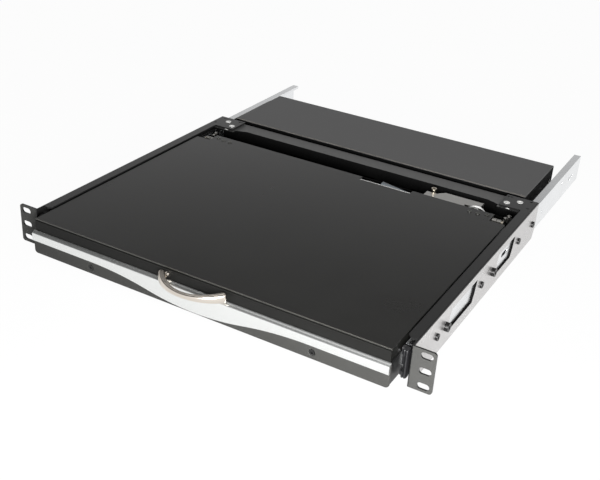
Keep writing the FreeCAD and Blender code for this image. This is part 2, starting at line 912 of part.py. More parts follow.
def inner_rail_fixings():
    """Low-headed screws inside the inner members, and the plugs that close their front ends."""
    parts = []
    reach = d.rail_metal + d.drawer_sheet
    for i, row in enumerate(inner_screw_rows()):
        seat = (drawer_side + d.rail_metal, row, 0)
        head = (d.screw_head_radius, d.screw_head_height)
        item = screw(f"inner_screw_{i}", seat, "X", d.screw_radius, *head, reach)
        parts += [item, mirror(item, f"inner_screw_left_{i}")]
    group("inner_rail_screws", parts)
    inside = inner_half - d.rail_metal
    x = (drawer_side + d.rail_metal, inner_tip)
    y = (d.inner_rail_start, d.inner_rail_start + d.plug_length)
    plug = block("inner_plug_right", x, y, (-inside, inside))
    group("inner_rail_plugs", [plug, mirror(plug, "inner_plug_left")])


def middle_bumper():
    """Moulded stop on the middle member's front end, open in the middle for the inner member."""
    body = new_body("middle_bumper_right")
    start, half = d.middle_rail_start - d.bumper_length, d.bumper_height / 2
    right = middle_face + d.plug_clearance
    left = right - d.bumper_width
    outline = rounded(left, right, -half, half, d.bumper_radius)
    pad(body, "bar", "Y", start, d.middle_rail_start, outline)
    opening = inner_half + d.plug_clearance
    channel = rectangle(left - 1, inner_tip + d.plug_clearance, -opening, opening)
    pocket(body, "channel", "Y", start - 1, d.middle_rail_start + 1, channel)
    mirrored_node(body, "middle_bumper_left")


BALLS_IN_ROW = 4


def ball_cage(name, ball_x, ball_z, web_low, tip):
    """A pressed cage with a row of steel balls above and below."""
    body = doc.addObject("PartDesign::Body", f"{name}_strip")
    web_high = web_low + d.cage_metal
    thick = d.cage_metal / 2
    section = [
        corner(web_high, -ball_z - thick),
        corner(web_high, ball_z + thick),
        corner(tip, ball_z + thick),
        corner(tip, ball_z - thick),
        corner(web_low, ball_z - thick),
        corner(web_low, thick - ball_z),
        corner(tip, thick - ball_z),
        corner(tip, -ball_z - thick),
    ]
    pad(body, "section", "Y", d.cage_start, d.cage_start + d.cage_length, section)
    pitch = (d.cage_length - 2 * d.cage_end_margin) / (BALLS_IN_ROW - 1)
    rows = [d.cage_start + d.cage_end_margin + i * pitch for i in range(BALLS_IN_ROW)]
    holes = [circle(ball_x, row, d.ball_radius + d.ball_hole_clearance) for row in rows]
    pocket(body, "ball_holes", "Z", -ball_z - 1, ball_z + 1, *holes)
    parts = [body]
    for i, row in enumerate(rows):
        for side in (-1, 1):
            ball = doc.addObject("Part::Sphere", f"{name}_ball_{i}_{'low' if side < 0 else 'high'}")
            ball.setExpression("Radius", d.ball_radius.formula)
            place_at(ball, ball_x, row, side * ball_z)
            parts.append(ball)
    right = group(f"{name}_right", parts)
    mirrored_node(right, f"{name}_left")


def ball_cages():
    """The cages between the outer and middle members, and between the middle and inner ones."""
    gap = (d.web_gap - d.cage_metal) / 2
    outer_tip = panel_inner - d.rail_depth + d.rail_metal + d.cage_clearance
    ball_cage("outer_cage", outer_ball_x, outer_ball_z, middle_face + gap, outer_tip)
    inner_web = inner_tip + gap
    tip = middle_tip + d.plug_clearance
    ball_cage("inner_cage", inner_ball_x, inner_ball_z, inner_web, tip)


# ---------------------------------------------------------------- crossmember and controller box
def crossmember():
    """Folded bridge between the gussets, with the foot that carries the controller box."""
    body = new_body("crossmember")
    side = panel_inner - d.cross_end_gap
    front, rear = cross_front, d.panel_depth
    slant = front - d.cross_slant
    cross_ear_front = rear - d.cross_ear_setback
    outline = [
        corner(-d.cross_flare_start, front),
        corner(d.cross_flare_start, front),
        corner(d.cross_ear_start, slant),
        corner(d.cross_ear_start, cross_ear_front),
        corner(side, cross_ear_front),
        corner(side, rear),
        corner(-side, rear),
        corner(-side, cross_ear_front),
        corner(-d.cross_ear_start, cross_ear_front),
        corner(-d.cross_ear_start, slant),
    ]
    under = d.cross_top - d.cross_sheet
    pad(body, "top", "Z", under, d.cross_top, outline)
    wall_side = drawer_side - d.cross_wall_gap
    bottom = -d.cross_bottom
    columns = [side * d.cable_hole_pitch for side in (-1, 0, 1)]
    holes = [slot(x, -d.cable_hole_down, d.cable_hole_length, d.cable_hole_width) for x in columns]
    wall = rectangle(-wall_side, wall_side, bottom, d.cross_top)
    pad(body, "wall", "Y", front, front + d.cross_sheet, wall, *holes)
    foot = rectangle(-wall_side, wall_side, front, rear + d.cross_foot_reach)
    pad(body, "foot", "Z", bottom, bottom + d.cross_sheet, foot)
    bosses = []
    for x, y in gusset_screw_places():
        bosses += [circle(x, y, d.boss_radius), circle(-x, y, d.boss_radius)]
    pad(body, "bosses", "Z", d.cross_top, gusset_under, *bosses)
    holes = []
    for x, y in gusset_screw_places() + [ledge_screw_place()]:
        holes += [circle(x, y, d.screw_radius), circle(-x, y, d.screw_radius)]
    pocket(body, "screw_holes", "Z", under - 1, gusset_under + 1, *holes)


def ledge_screw_place():
    """The small screw in front of each gusset, in the crossmember's ear."""
    front = d.panel_depth - d.cross_ear_setback
    return (d.cross_ear_start + d.ledge_screw_side, front + d.ledge_screw_front)


def gusset_fixings():
    """Bright screws: two through each gusset and one in each ear of the crossmember."""
    parts = []
    for i, (x, y) in enumerate(gusset_screw_places()):
        reach = half_height - d.cross_top + d.cross_sheet
        head = (d.screw_head_radius, d.flat_head_height)
        parts.append(screw(f"gusset_screw_{i}", (x, y, half_height), "Z", d.screw_radius, *head, reach))
    seat = (*ledge_screw_place(), d.cross_top)
    head = (d.small_head_radius, d.small_head_height)
    parts.append(screw("ledge_screw", seat, "Z", d.screw_radius, *head, d.cross_sheet))
    left = [mirror(part, f"{part.Name}_left") for part in parts]
    group("gusset_screws", parts + left)


box_floor = d.cross_sheet - d.cross_bottom
board_top = box_floor + d.box_sheet + d.board_height + d.board_thickness
base_side = d.box_width / 2 - d.box_sheet - d.box_gap


def rear_openings():
    """Cut-outs in the box's rear wall: video socket, two data sockets and power inlet."""
    gap = d.connector_gap
    openings = [rounded(*video_shell(gap), d.connector_gap * 3)]
    openings += [rectangle(*usb_shell(side, gap)) for side in (-1, 1)]
    openings.append(circle(d.power_x, board_top + d.inlet_radius, d.inlet_radius + gap))
    return openings


def video_shell(gap):
    """Edges of the video socket's shell, widened by a gap: x and z, low and high."""
    half = d.video_width / 2
    low = board_top + d.video_foot / 2
    return (d.video_x - half - gap, d.video_x + half + gap, low - gap, low + d.video_height + gap)


def usb_shell(side, gap):
    """Edges of one data socket, widened by a gap."""
    middle = d.usb_x + side * d.usb_spacing / 2
    half = d.usb_width / 2
    return (middle - half - gap, middle + half + gap, board_top - gap / 2, board_top + d.usb_height + gap)


def box_base():
    """Lower shell of the controller box, with posts for its board."""
    body = new_body("box_base")
    top = d.box_top - d.box_sheet
    outline = rectangle(-base_side, base_side, box_front, box_rear)
    pad(body, "outside", "Z", box_floor, top, outline)
    inset = d.box_sheet
    hollow = rectangle(inset - base_side, base_side - inset, box_front + inset, box_rear - inset)
    pocket(body, "hollow", "Z", box_floor + inset, top + 1, hollow)
    posts = [circle(x, y, d.board_post_radius) for x, y in board_posts()]
    pad(body, "posts", "Z", box_floor + inset, board_top - d.board_thickness, *posts)
    pocket(body, "sockets", "Y", box_rear - inset - 1, box_rear + 1, *rear_openings())


def board_posts():
    """Where the board is carried."""
    x, rear = d.board_width / 2 - d.board_post_inset, box_rear - d.board_rear_gap - d.board_post_inset
    front = rear - d.board_depth + 2 * d.board_post_inset
    return [(side * x, y) for side in (-1, 1) for y in (front, rear)]


def box_cover():
    """Upper shell of the controller box: a plate with two side skirts."""
    body = new_body("box_cover")
    side = d.box_width / 2
    under = d.box_top - d.box_sheet
    pad(body, "plate", "Z", under, d.box_top, rectangle(-side, side, box_front, box_rear))
    for name, low, high in (("right", side - d.box_sheet, side), ("left", -side, d.box_sheet - side)):
        skirt = rectangle(box_front, box_rear, -d.box_skirt_bottom, under)
        pad(body, f"skirt_{name}", "X", low, high, skirt)

    def long_top(edge):
        middle = edge.BoundBox.Center
        return along(edge, AXIS_Y) and near(middle.z, d.box_top) and abs(middle.x) > side.value - 0.1

    round_edges(body, "bends", d.box_sheet * 0.8, long_top)


def box_contents():
    """Board, and the sockets that look out of the rear wall."""
    half = d.board_width / 2
    rear = box_rear - d.board_rear_gap
    z = (board_top - d.board_thickness, board_top)
    single(block("board", (-half, half), (rear - d.board_depth, rear), z), "box_board")
    back, tip = rear - d.socket_depth, box_rear + d.socket_proud
    video_connector(back, rear, tip)
    group("usb_ports", [usb_port(side, name, back, tip) for side, name in ((-1, "left"), (1, "right"))])
    centre = board_top + d.inlet_radius
    barrel = cylinder("inlet_barrel", d.inlet_radius, tip - back, (d.power_x, back, centre), "Y")
    depth = d.inlet_bore_depth
    bore = cylinder("inlet_bore", d.inlet_bore_radius, depth + 1, (d.power_x, tip - depth, centre), "Y")
    pin = cylinder("inlet_pin", d.inlet_pin_radius, depth, (d.power_x, tip - depth - 1, centre), "Y")
    single(fuse("inlet", [cut("inlet_body", barrel, bore), pin]), "power_inlet")


def video_connector(back, rear, tip):
    """Shell of the video socket, open to the rear, on a foot on the board."""
    x_low, x_high, z_low, z_high = video_shell(0)
    body = new_body("video_connector")
    pad(body, "shell", "Y", back, tip, rounded(x_low, x_high, z_low, z_high, d.connector_gap * 3))
    wall = d.socket_wall
    inside = rounded(x_low + wall, x_high - wall, z_low + wall, z_high - wall, d.connector_gap * 2)
    pocket(body, "mouth", "Y", tip - d.socket_mouth, tip + 1, inside)
    foot = rectangle(x_low - d.video_foot_side, x_high + d.video_foot_side, back, rear - d.video_foot)
    pad(body, "foot", "Z", board_top, board_top + d.video_foot, foot)


def usb_port(side, name, back, tip):
    """One data socket: a shell with a tongue in its mouth."""
    x_low, x_high, z_low, z_high = usb_shell(side, 0)
    wall, inset = d.socket_wall, d.usb_tongue_inset
    floor = tip - d.socket_mouth
    outside = block(f"usb_shell_{name}", (x_low, x_high), (back, tip), (z_low, z_high))
    x, z = (x_low + wall, x_high - wall), (z_low + wall, z_high - wall)
    mouth = block(f"usb_mouth_{name}", x, (floor, tip + 1), z)
    middle = (z_low + z_high) / 2
    x, z = (x_low + inset, x_high - inset), (middle, middle + d.usb_tongue_height)
    tongue = block(f"usb_tongue_{name}", x, (floor - 1, tip - d.usb_tongue_height), z)
    return fuse(f"usb_port_{name}", [cut(f"usb_case_{name}", outside, mouth), tongue])


def box_fixings():
    """Four small screws that hold the cover's skirts to the base."""
    parts = []
    side = d.box_width / 2
    rows = (box_front + d.box_screw_inset, box_rear - d.box_screw_inset)
    reach = d.box_sheet * 2 + d.box_gap
    for i, y in enumerate(rows):
        head = (d.small_head_radius, d.small_head_height)
        item = screw(f"box_screw_{i}", (side, y, d.box_screw_up), "X", d.small_screw_radius, *head, reach)
        parts += [item, mirror(item, f"box_screw_left_{i}")]
    holes = [circle(y, d.box_screw_up, d.small_screw_radius) for y in rows]
    for name in ("box_base", "box_cover"):
        pocket(nodes[name], f"{name}_screw_holes", "X", -side - 1, side + 1, *holes)
    group("box_screws", parts)


# ---------------------------------------------------------------- drawer
MAIN_UNITS = 15
PAD_UNITS = 4
ROW_COUNT = 5
block_width = (MAIN_UNITS + PAD_UNITS) * d.key_pitch + d.keypad_space
block_left = -block_width / 2
block_front = d.key_row_start
function_front = block_front + ROW_COUNT * d.key_pitch + d.key_gap * 3
block_rear = function_front + d.function_key_depth
pad_left = block_left + MAIN_UNITS * d.key_pitch + d.keypad_space
bed_top = d.key_top - d.key_height - d.key_travel - d.key_bed_gap
touch_half = d.touch_width / 2
touch_front = d.touch_start
touch_rear = touch_front + d.touch_depth
button_rear = touch_front - d.touch_gap
button_front = button_rear - d.touch_button_depth


def tray():
    """Open sheet-metal tray that the inner rails carry."""
    body = new_body("tray")
    outside = rectangle(-drawer_side, drawer_side, -d.drawer_front, drawer_rear)
    pad(body, "outside", "Z", -d.tray_bottom, d.tray_top, outside)
    inner = drawer_side - d.drawer_sheet
    hollow = rectangle(-inner, inner, d.drawer_sheet - d.drawer_front, drawer_rear - d.drawer_sheet)
    pocket(body, "hollow", "Z", tray_floor, d.tray_top + 1, hollow)
    holes = [circle(row, 0, d.screw_radius) for row in inner_screw_rows()]
    pocket(body, "screw_holes", "X", -drawer_side - 1, drawer_side + 1, *holes)
    x, rows = block_left + d.post_inset, (block_front, block_rear)
    bed_posts = [circle(side * x, y, d.post_radius) for side in (-1, 1) for y in rows]
    pad(body, "bed_posts", "Z", tray_floor, bed_top - d.key_bed_thickness, *bed_posts)
    x, y = touch_half - d.post_inset, touch_front + d.touch_depth / 2
    touch_posts = [circle(side * x, y, d.post_radius) for side in (-1, 1)]
    pad(body, "touch_posts", "Z", tray_floor, d.deck_top - d.touch_thickness, *touch_posts)


fascia_back = -d.drawer_front
fascia_face = fascia_back - d.fascia_thickness
trim_face = fascia_face - d.trim_thickness


def fascia():
    """Black front panel of the drawer, with rounded lower corners and two countersunk screws."""
    body = new_body("front_fascia")
    half, radius = d.fascia_width / 2, d.fascia_corner
    outline = [
        corner(-half, d.fascia_top),
        corner(-half, radius - d.fascia_bottom),
        bend(radius - half, -d.fascia_bottom, radius - half, radius - d.fascia_bottom, "left"),
        corner(half - radius, -d.fascia_bottom),
        bend(half, radius - d.fascia_bottom, half - radius, radius - d.fascia_bottom, "left"),
        corner(half, d.fascia_top),
    ]
    holes = [circle(side * d.fascia_screw_x, -d.fascia_screw_z, d.fascia_screw_radius) for side in (-1, 1)]
    pad(body, "plate", "Y", fascia_face, fascia_back, outline, *holes)

    def front_rim(edge):
        box = edge.BoundBox
        tall = box.ZLength > 2 * d.fascia_screw_radius.value
        return tall and near(box.YMin, fascia_face) and near(box.YMax, fascia_face)

    round_edges(body, "front_rim", d.fascia_radius, front_rim)
    parts = []
    for side, name in ((-1, "left"), (1, "right")):
        centre = (side * d.fascia_screw_x, fascia_back, -d.fascia_screw_z)
        height = d.fascia_thickness - d.fascia_screw_setback
        plug = cylinder(f"fascia_plug_{name}", d.fascia_screw_radius, height, centre, "-Y")
        socket = doc.addObject("Part::Prism", f"fascia_socket_{name}")
        socket.Polygon = 6
        socket.setExpression("Circumradius", (d.fascia_screw_radius * HEXAGON).formula)
        socket.setExpression("Height", height.formula)
        socket.Placement = Placement(Vector(), TURNS["-Y"])
        place_at(socket, centre[0], fascia_back - height / 2, centre[2])
        parts.append(cut(f"fascia_screw_{name}", plug, socket))
    group("fascia_screws", parts)


def bow_outline(half, top):
    """Trim seen from the front: straight ends, and a bow of four arcs along its lower edge."""
    total = (d.bow_half_length * d.bow_half_length + d.bow_depth * d.bow_depth) / (2 * d.bow_depth)
    low = -d.trim_edge - d.bow_depth
    middle_centre = low + total * d.bow_share
    end_centre = -d.trim_edge - total * (1 - d.bow_share)
    turn_x = d.bow_half_length * d.bow_share
    turn_z = middle_centre + d.bow_share * (end_centre - middle_centre)
    return [
        corner(-half, top),
        corner(-half, -d.trim_edge),
        corner(-d.bow_half_length, -d.trim_edge),
        bend(-turn_x, turn_z, -d.bow_half_length, end_centre, "right"),
        bend(turn_x, turn_z, 0, middle_centre, "left"),
        bend(d.bow_half_length, -d.trim_edge, d.bow_half_length, end_centre, "right"),
        corner(half, -d.trim_edge),
        corner(half, top),
    ]


def bow_trim():
    """Satin trim whose lower edge bows down in the middle and whose top leans back to the lid."""
    body = new_body("bow_trim")
    half = d.trim_width / 2
    pad(body, "face", "Y", trim_face, fascia_face, bow_outline(half, d.fascia_top))
    back = fascia_back - d.trim_reach
    bevel = [
        corner(trim_face, d.fascia_top),
        corner(back, d.fascia_top),
        corner(back, d.fascia_top + d.trim_bevel),
    ]
    pad(body, "bevel", "X", -half, half, bevel)

    def lower_front(edge):
        middle = edge.BoundBox.Center
        return near(middle.y, trim_face) and middle.z < -d.trim_edge.value + 1e-3 and edge.Length > 1

    round_edges(body, "lower_edge", d.trim_round, lower_front)


# ---------------------------------------------------------------- keyboard
def key_rows():
    """Rows of the main block from front to back, as key widths in key pitches."""
    return [
        [1.25, 1.25, 1.25, 6.25, 1.25, 1.25, 1.25, 1.25],
        [2.25] + [1.0] * 10 + [2.75],
        [1.75] + [1.0] * 11 + [2.25],
        [1.5] + [1.0] * 12 + [1.5],
        [1.0] * 13 + [2.0],
    ]


def keycap(name, left, width, front, depth):
    """One tapered keycap on its stems; the gap to its neighbours is shared by its sides."""
    cap = doc.addObject("Part::Wedge", f"{name}_cap")
    gap = d.key_gap / 2
    low_x, high_x = left + gap, left + width - gap
    low_y, high_y = front + gap, front + depth - gap
    values = {
        "Xmin": low_x,
        "Xmax": high_x,
        "X2min": low_x + d.key_taper,
        "X2max": high_x - d.key_taper,
        "Zmin": -high_y,
        "Zmax": -low_y,
        "Z2min": -high_y + d.key_taper,
        "Z2max": -low_y - d.key_taper,
        "Ymin": d.key_top - d.key_height,
        "Ymax": d.key_top,
    }
    for prop in ("Xmax", "X2max", "Ymax", "Zmax", "Z2max"):
        setattr(cap, prop, values[prop].value)
    for prop, size in values.items():
        setattr(cap, prop, size.value)
    for prop, size in values.items():
        cap.setExpression(prop, size.formula)
    cap.Placement = Placement(Vector(), Rotation(AXIS_X, 90))
    return fuse(name, [cap] + key_stems(name, left, width, front + depth / 2))


def key_stems(name, left, width, middle):
    """Square stems that guide a key in the bed: one, or three under a wide key."""
    shares = (0.2, 0.5, 0.8) if width.value > 3 * d.key_pitch.value else (0.5,)
    under = d.key_top - d.key_height
    stems = []
    for i, share in enumerate(shares):
        x = left + width * share
        half = d.key_stem_half
        sides = [(at - half, at + half) for at in (x, middle)]
        stems.append(block(f"{name}_stem_{i}", *sides, (bed_top - d.key_bed_thickness, under + half)))
        half = d.key_stem_half + d.key_stem_gap
        sides = [(at - half, at + half) for at in (x, middle)]
        through = (bed_top - d.key_bed_thickness * 2, bed_top + half)
        stem_holes.append(block(f"{name}_hole_{i}", *sides, through))
    return stems


stem_holes = []


def key_row(name, units, left, front, depth):
    """Keycaps side by side."""
    caps = []
    for i, unit in enumerate(units):
        caps.append(keycap(f"{name}_{i}", left, unit * d.key_pitch, front, depth))
        left = left + unit * d.key_pitch
    return caps


def keyboard():
    """Keycaps in blocks, the bed under them and the deck around them."""
    letters = []
    for row, units in enumerate(key_rows()):
        caps = key_row(f"key_{row}", units, block_left, block_front + row * d.key_pitch, d.key_pitch)
        if row == 0:
            single(caps.pop(3), "space_bar")
        if row == 2:
            single(caps.pop(), "enter_key")
        letters += caps
    group("letter_keys", letters)
    tops = key_row("function_key", [1.0] * MAIN_UNITS, block_left, function_front, d.function_key_depth)
    tops += key_row("keypad_top", [1.0] * PAD_UNITS, pad_left, function_front, d.function_key_depth)
    group("function_keys", tops)
    numbers = []
    for row in range(ROW_COUNT):
        units = [2.0, 1.0, 1.0] if row == 0 else [1.0] * PAD_UNITS
        front = block_front + row * d.key_pitch
        numbers += key_row(f"keypad_{row}", units, pad_left, front, d.key_pitch)
    group("number_keys", numbers)
    x = (block_left - d.key_bed_margin, d.key_bed_margin - block_left)
    y = (block_front - d.key_bed_margin, block_rear + d.key_bed_margin)
    holes = doc.addObject("Part::Compound", "key_bed_holes")
    holes.Links = stem_holes
    bed = block("key_bed_sheet", x, y, (bed_top - d.key_bed_thickness, bed_top))
    single(cut("key_bed", bed, holes), "keyboard_plate")


def key_opening(left, right, front, rear):
    """Hole in the deck round a block of keys."""
    gap = d.key_frame_gap - d.key_gap / 2
    return rectangle(left - gap, right + gap, front - gap, rear + gap)


def keyboard_deck():
    """Moulded cover round the keys and the touch pad, standing on the tray's floor."""
    body = new_body("keyboard_housing")
    front = d.drawer_sheet - d.drawer_front + d.deck_clearance
    deck_rear = hinge_y - d.deck_hinge_gap
    outline = rectangle(-deck_side, deck_side, front, deck_rear)
    pad(body, "outside", "Z", tray_floor, d.deck_top, outline)
    wall = d.deck_wall
    hollow = rectangle(wall - deck_side, deck_side - wall, front + wall, deck_rear - wall)
    pocket(body, "hollow", "Z", tray_floor - 1, d.deck_top - wall, hollow)
    main_right = block_left + MAIN_UNITS * d.key_pitch
    pad_right = pad_left + PAD_UNITS * d.key_pitch
    main_rear = block_front + ROW_COUNT * d.key_pitch
    openings = [
        key_opening(block_left, main_right, block_front, main_rear),
        key_opening(pad_left, pad_right, block_front, main_rear),
        key_opening(block_left, main_right, function_front, block_rear),
        key_opening(pad_left, pad_right, function_front, block_rear),
        rounded(-touch_half - d.touch_gap, touch_half + d.touch_gap, button_front - d.touch_gap,
                touch_rear + d.touch_gap, d.touch_gap * 3),
    ]
    pocket(body, "openings", "Z", d.deck_top - wall - 1, d.deck_top + 1, *openings)


def touch_pad():
    """Touch surface and its two click buttons."""
    low = d.deck_top - d.touch_thickness
    x = (-touch_half, touch_half)
    single(block("touch_surface", x, (touch_front, touch_rear), (low, d.deck_top)), "touchpad")
    z = (d.deck_top - d.touch_button_height, d.deck_top)
    half_gap = d.touch_gap / 2
    y = (button_front, button_rear)
    single(block("left_button", (-touch_half, -half_gap), y, z), "touch_button_left")
    single(block("right_button", (half_gap, touch_half), y, z), "touch_button_right")


# ---------------------------------------------------------------- lid
def lid_outline(inset):
    """Lid seen from above, drawn in by an inset: recessed rear corners and a cable notch."""
    side, front, rear = lid_side - inset, d.lid_front_setback - d.lid_front + inset, lid_rear - inset
    recess_x, recess_y = recess_side - inset, recess_front - inset
    notch_y = lid_rear - d.notch_depth - inset
    return [
        corner(-side, front),
        corner(side, front),
        corner(side, recess_y),
        corner(recess_x, recess_y),
        corner(recess_x, rear),
        corner(d.notch_end + inset, rear),
        corner(d.notch_end + inset, notch_y),
        corner(d.notch_start - inset, notch_y),
        corner(d.notch_start - inset, rear),
        corner(-recess_x, rear),
        corner(-recess_x, recess_y),
        corner(-side, recess_y),
    ]


bezel_top = d.lid_bottom + d.bezel_thickness
arm_half = d.hinge_arm_half
osd_row = lid_rear - d.osd_inset


def lid_cover():
    """Painted cover of the lid, open below, with slots for the hinge arms."""
    body = new_body("lid_cover")
    pad(body, "outside", "Z", bezel_top, d.lid_top, lid_outline(length(0)))
    pocket(body, "hollow", "Z", bezel_top - 1, d.lid_top - d.lid_wall, lid_outline(d.lid_wall))
    front = d.lid_front_setback - d.lid_front
    strip = rectangle(-lid_side - 1, lid_side + 1, front - 1, d.lid_strip_thickness - d.lid_front)
    pocket(body, "strip_seat", "Z", bezel_top - 1, d.lid_top - d.lid_wall, strip)
    gap = arm_half + d.hinge_arm_slot
    arm = rectangle(hinge_y - gap, hinge_y + gap, d.hinge_z - gap, d.hinge_z + gap)
    pocket(body, "arm_slots", "X", -recess_side - 1, recess_side + 1, arm)
    holes = []
    for x, y in lid_screw_places():
        holes += [circle(x, y, d.small_screw_radius), circle(-x, y, d.small_screw_radius)]
    pocket(body, "screw_holes", "Z", d.lid_top - d.lid_wall - 1, d.lid_top + 1, *holes)

    def top_rim(edge):
        return edge.Curve.TypeId == "Part::GeomLine" and near(edge.BoundBox.ZMin, d.lid_top)

    round_edges(body, "top_rim", d.lid_wall * 0.4, top_rim)


def lid_screw_places():
    """Screws that hold each hinge arm under the lid's top, right side."""
    first = recess_side - d.lid_screw_side
    front = hinge_y - d.lid_screw_front
    return [(first, hinge_y), (first - d.lid_screw_pitch, front), (first - d.lid_screw_pitch * 2, front)]


display_rear = lid_rear - d.display_rear_gap
screen_front = d.display_front + d.screen_setback
screen_rear = display_rear - d.screen_rear_margin


def lid_bezel():
    """Frame round the screen, with the front strip that closes the lid."""
    body = new_body("lid_bezel")
    outline = lid_outline(length(0))
    outline[0] = corner(-lid_side, -d.lid_front)
    outline[1] = corner(lid_side, -d.lid_front)
    half = d.screen_width / 2
    screen = rectangle(-half, half, screen_front, screen_rear)
    buttons = [circle(x, osd_row, d.osd_radius + d.osd_gap) for x in osd_places()]
    pad(body, "frame", "Z", d.lid_bottom, bezel_top, outline, screen, *buttons)
    strip_top = d.lid_top - d.lid_wall - d.lid_seam
    inside = d.lid_strip_thickness - d.lid_front - d.box_gap
    strip = rectangle(-lid_side, lid_side, -d.lid_front, inside)
    pad(body, "strip", "Z", bezel_top, strip_top, strip)

    def strip_rim(edge):
        middle = edge.BoundBox.Center
        return along(edge, AXIS_X) and near(middle.y, -d.lid_front)

    round_edges(body, "strip_rim", d.lid_seam, strip_rim)


def osd_places():
    """Where the display's buttons are across the lid."""
    return [(i - 1.5) * d.osd_spacing for i in range(4)]


def display():
    """Display module, held against the bezel, and the buttons below its screen."""
    half = d.display_width / 2
    z = (bezel_top, bezel_top + d.display_thickness)
    shell = block("display_module", (-half, half), (d.display_front, display_rear), z)
    margin = d.glass_margin
    x = (margin - d.screen_width / 2, d.screen_width / 2 - margin)
    y = (screen_front + margin, screen_rear - margin)
    glass = block("display_recess", x, y, (bezel_top - 1, bezel_top + d.glass_setback))
    single(cut("display_panel", shell, glass), "lcd_panel")
    names = ("menu", "down", "up", "power")
    for name, x in zip(names, osd_places()):
        start = (x, osd_row, d.lid_bottom - d.osd_proud)
        item = cylinder(f"osd_{name}", d.osd_radius, d.osd_height, start, "Z")
        single(item, f"osd_button_{name}")


def handle():
    """Bow handle: a curved bar, deeper at its ends, on two posts."""
    body = new_body("handle")
    face = -d.lid_front
    half, middle = d.handle_half_width, -d.handle_offset
    near_y, far_y = face - d.handle_stand, face - d.handle_reach
    rise = near_y - far_y
    outer = (half * half + rise * rise) / (2 * rise)
    centre = far_y + outer
    share = (outer - d.handle_thickness) / outer
    inner_half, inner_y = half * share, centre + (near_y - centre) * share
    plan = [
        corner(middle - half, near_y),
        bend(middle + half, near_y, middle, centre, "left"),
        corner(middle + inner_half, inner_y),
        bend(middle - inner_half, inner_y, middle, centre, "right"),
    ]
    low, high = d.handle_z - d.handle_end_height / 2, d.handle_z + d.handle_end_height / 2
    pad(body, "bow", "Z", low, high, plan)

    def end_corner(edge):
        return edge.BoundBox.ZLength < 1e-6 and abs(edge.Length - d.handle_thickness.value) < 0.1

    round_edges(body, "end_corners", d.handle_end_round, end_corner)
    waist = (d.handle_end_height - d.handle_mid_height) / 2
    reach = half + 1
    arc = (reach * reach + waist * waist) / (2 * waist)
    over = [
        corner(middle + reach, high + 1),
        corner(middle - reach, high + 1),
        corner(middle - reach, high),
        bend(middle + reach, high, middle, high - waist + arc, "left"),
    ]
    under = [
        corner(middle - reach, low - 1),
        corner(middle + reach, low - 1),
        corner(middle + reach, low),
        bend(middle - reach, low, middle, low + waist - arc, "left"),
    ]
    pocket(body, "waist", "Y", far_y - 1, face, over, under)

    def long_edge(edge):
        return edge.Length > half.value

    round_edges(body, "soft_edges", d.handle_round, long_edge)
    x = half - d.handle_post_inset
    posts = [circle(middle + side * x, d.handle_z, d.handle_post_radius) for side in (-1, 1)]
    pad(body, "posts", "Y", near_y - d.handle_post_sink, face, *posts)


def flat_cable():
    """Stub of the flat cable that leaves the lid through its rear notch and turns down."""
    body = new_body("flat_cable")
    wall = lid_rear - d.notch_depth
    top, thick = d.lid_top - d.ribbon_drop, d.ribbon_thickness
    start = wall + thick
    inside, outer = start + d.ribbon_bend, start + d.ribbon_bend + thick
    turn_z = top - thick - d.ribbon_bend
    section = [
        corner(wall, top),
        corner(wall, top - thick),
        corner(start, top - thick),
        bend(inside, turn_z, start, turn_z, "right"),
        corner(inside, bezel_top),
        corner(outer, bezel_top),
        corner(outer, turn_z),
        bend(start, top, start, turn_z, "left"),
    ]
    pad(body, "ribbon", "X", d.notch_start + d.ribbon_margin, d.notch_end - d.ribbon_margin, section)


# ---------------------------------------------------------------- hinges
leaf_start = recess_side + d.knuckle_gap
leaf_end = leaf_start + d.knuckle_length
base_start = leaf_end + d.knuckle_gap
base_end = base_start + d.knuckle_length


def hinge_leaf():
    """Lid half of a hinge: a knuckle, and an arm that reaches in under the lid's top."""
    body = new_body("hinge_leaf_right")
    ring = circle(hinge_y, d.hinge_z, d.knuckle_radius)
    pad(body, "knuckle", "X", leaf_start, leaf_end, ring)
    arm = rectangle(hinge_y - arm_half, hinge_y + arm_half, d.hinge_z - arm_half, d.hinge_z + arm_half)
    inside = recess_side - d.lid_wall - d.hinge_leaf_gap
    pad(body, "arm", "X", inside - d.hinge_arm_root, leaf_start, arm)
    top = d.lid_top - d.lid_wall
    under = top - d.hinge_plate_height
    rear = lid_rear - d.lid_wall - d.hinge_leaf_gap * 2
    plate = rectangle(inside - d.hinge_arm_length, inside, recess_front + d.hinge_plate_setback, rear)
    pad(body, "plate", "Z", under, top, plate)
    riser = rectangle(inside - d.hinge_arm_root, inside, hinge_y - arm_half, hinge_y + arm_half)
    pad(body, "riser", "Z", d.hinge_z, under, riser)
    bore = circle(hinge_y, d.hinge_z, d.pin_radius + d.pin_fit)
    pocket(body, "bore", "X", leaf_start - d.knuckle_gap, leaf_end + 1, bore)
    holes = [circle(x, y, d.small_screw_radius) for x, y in lid_screw_places()]
    pocket(body, "screw_holes", "Z", under - 1, top + 1, *holes)
    mirrored_node(body, "hinge_leaf_left")


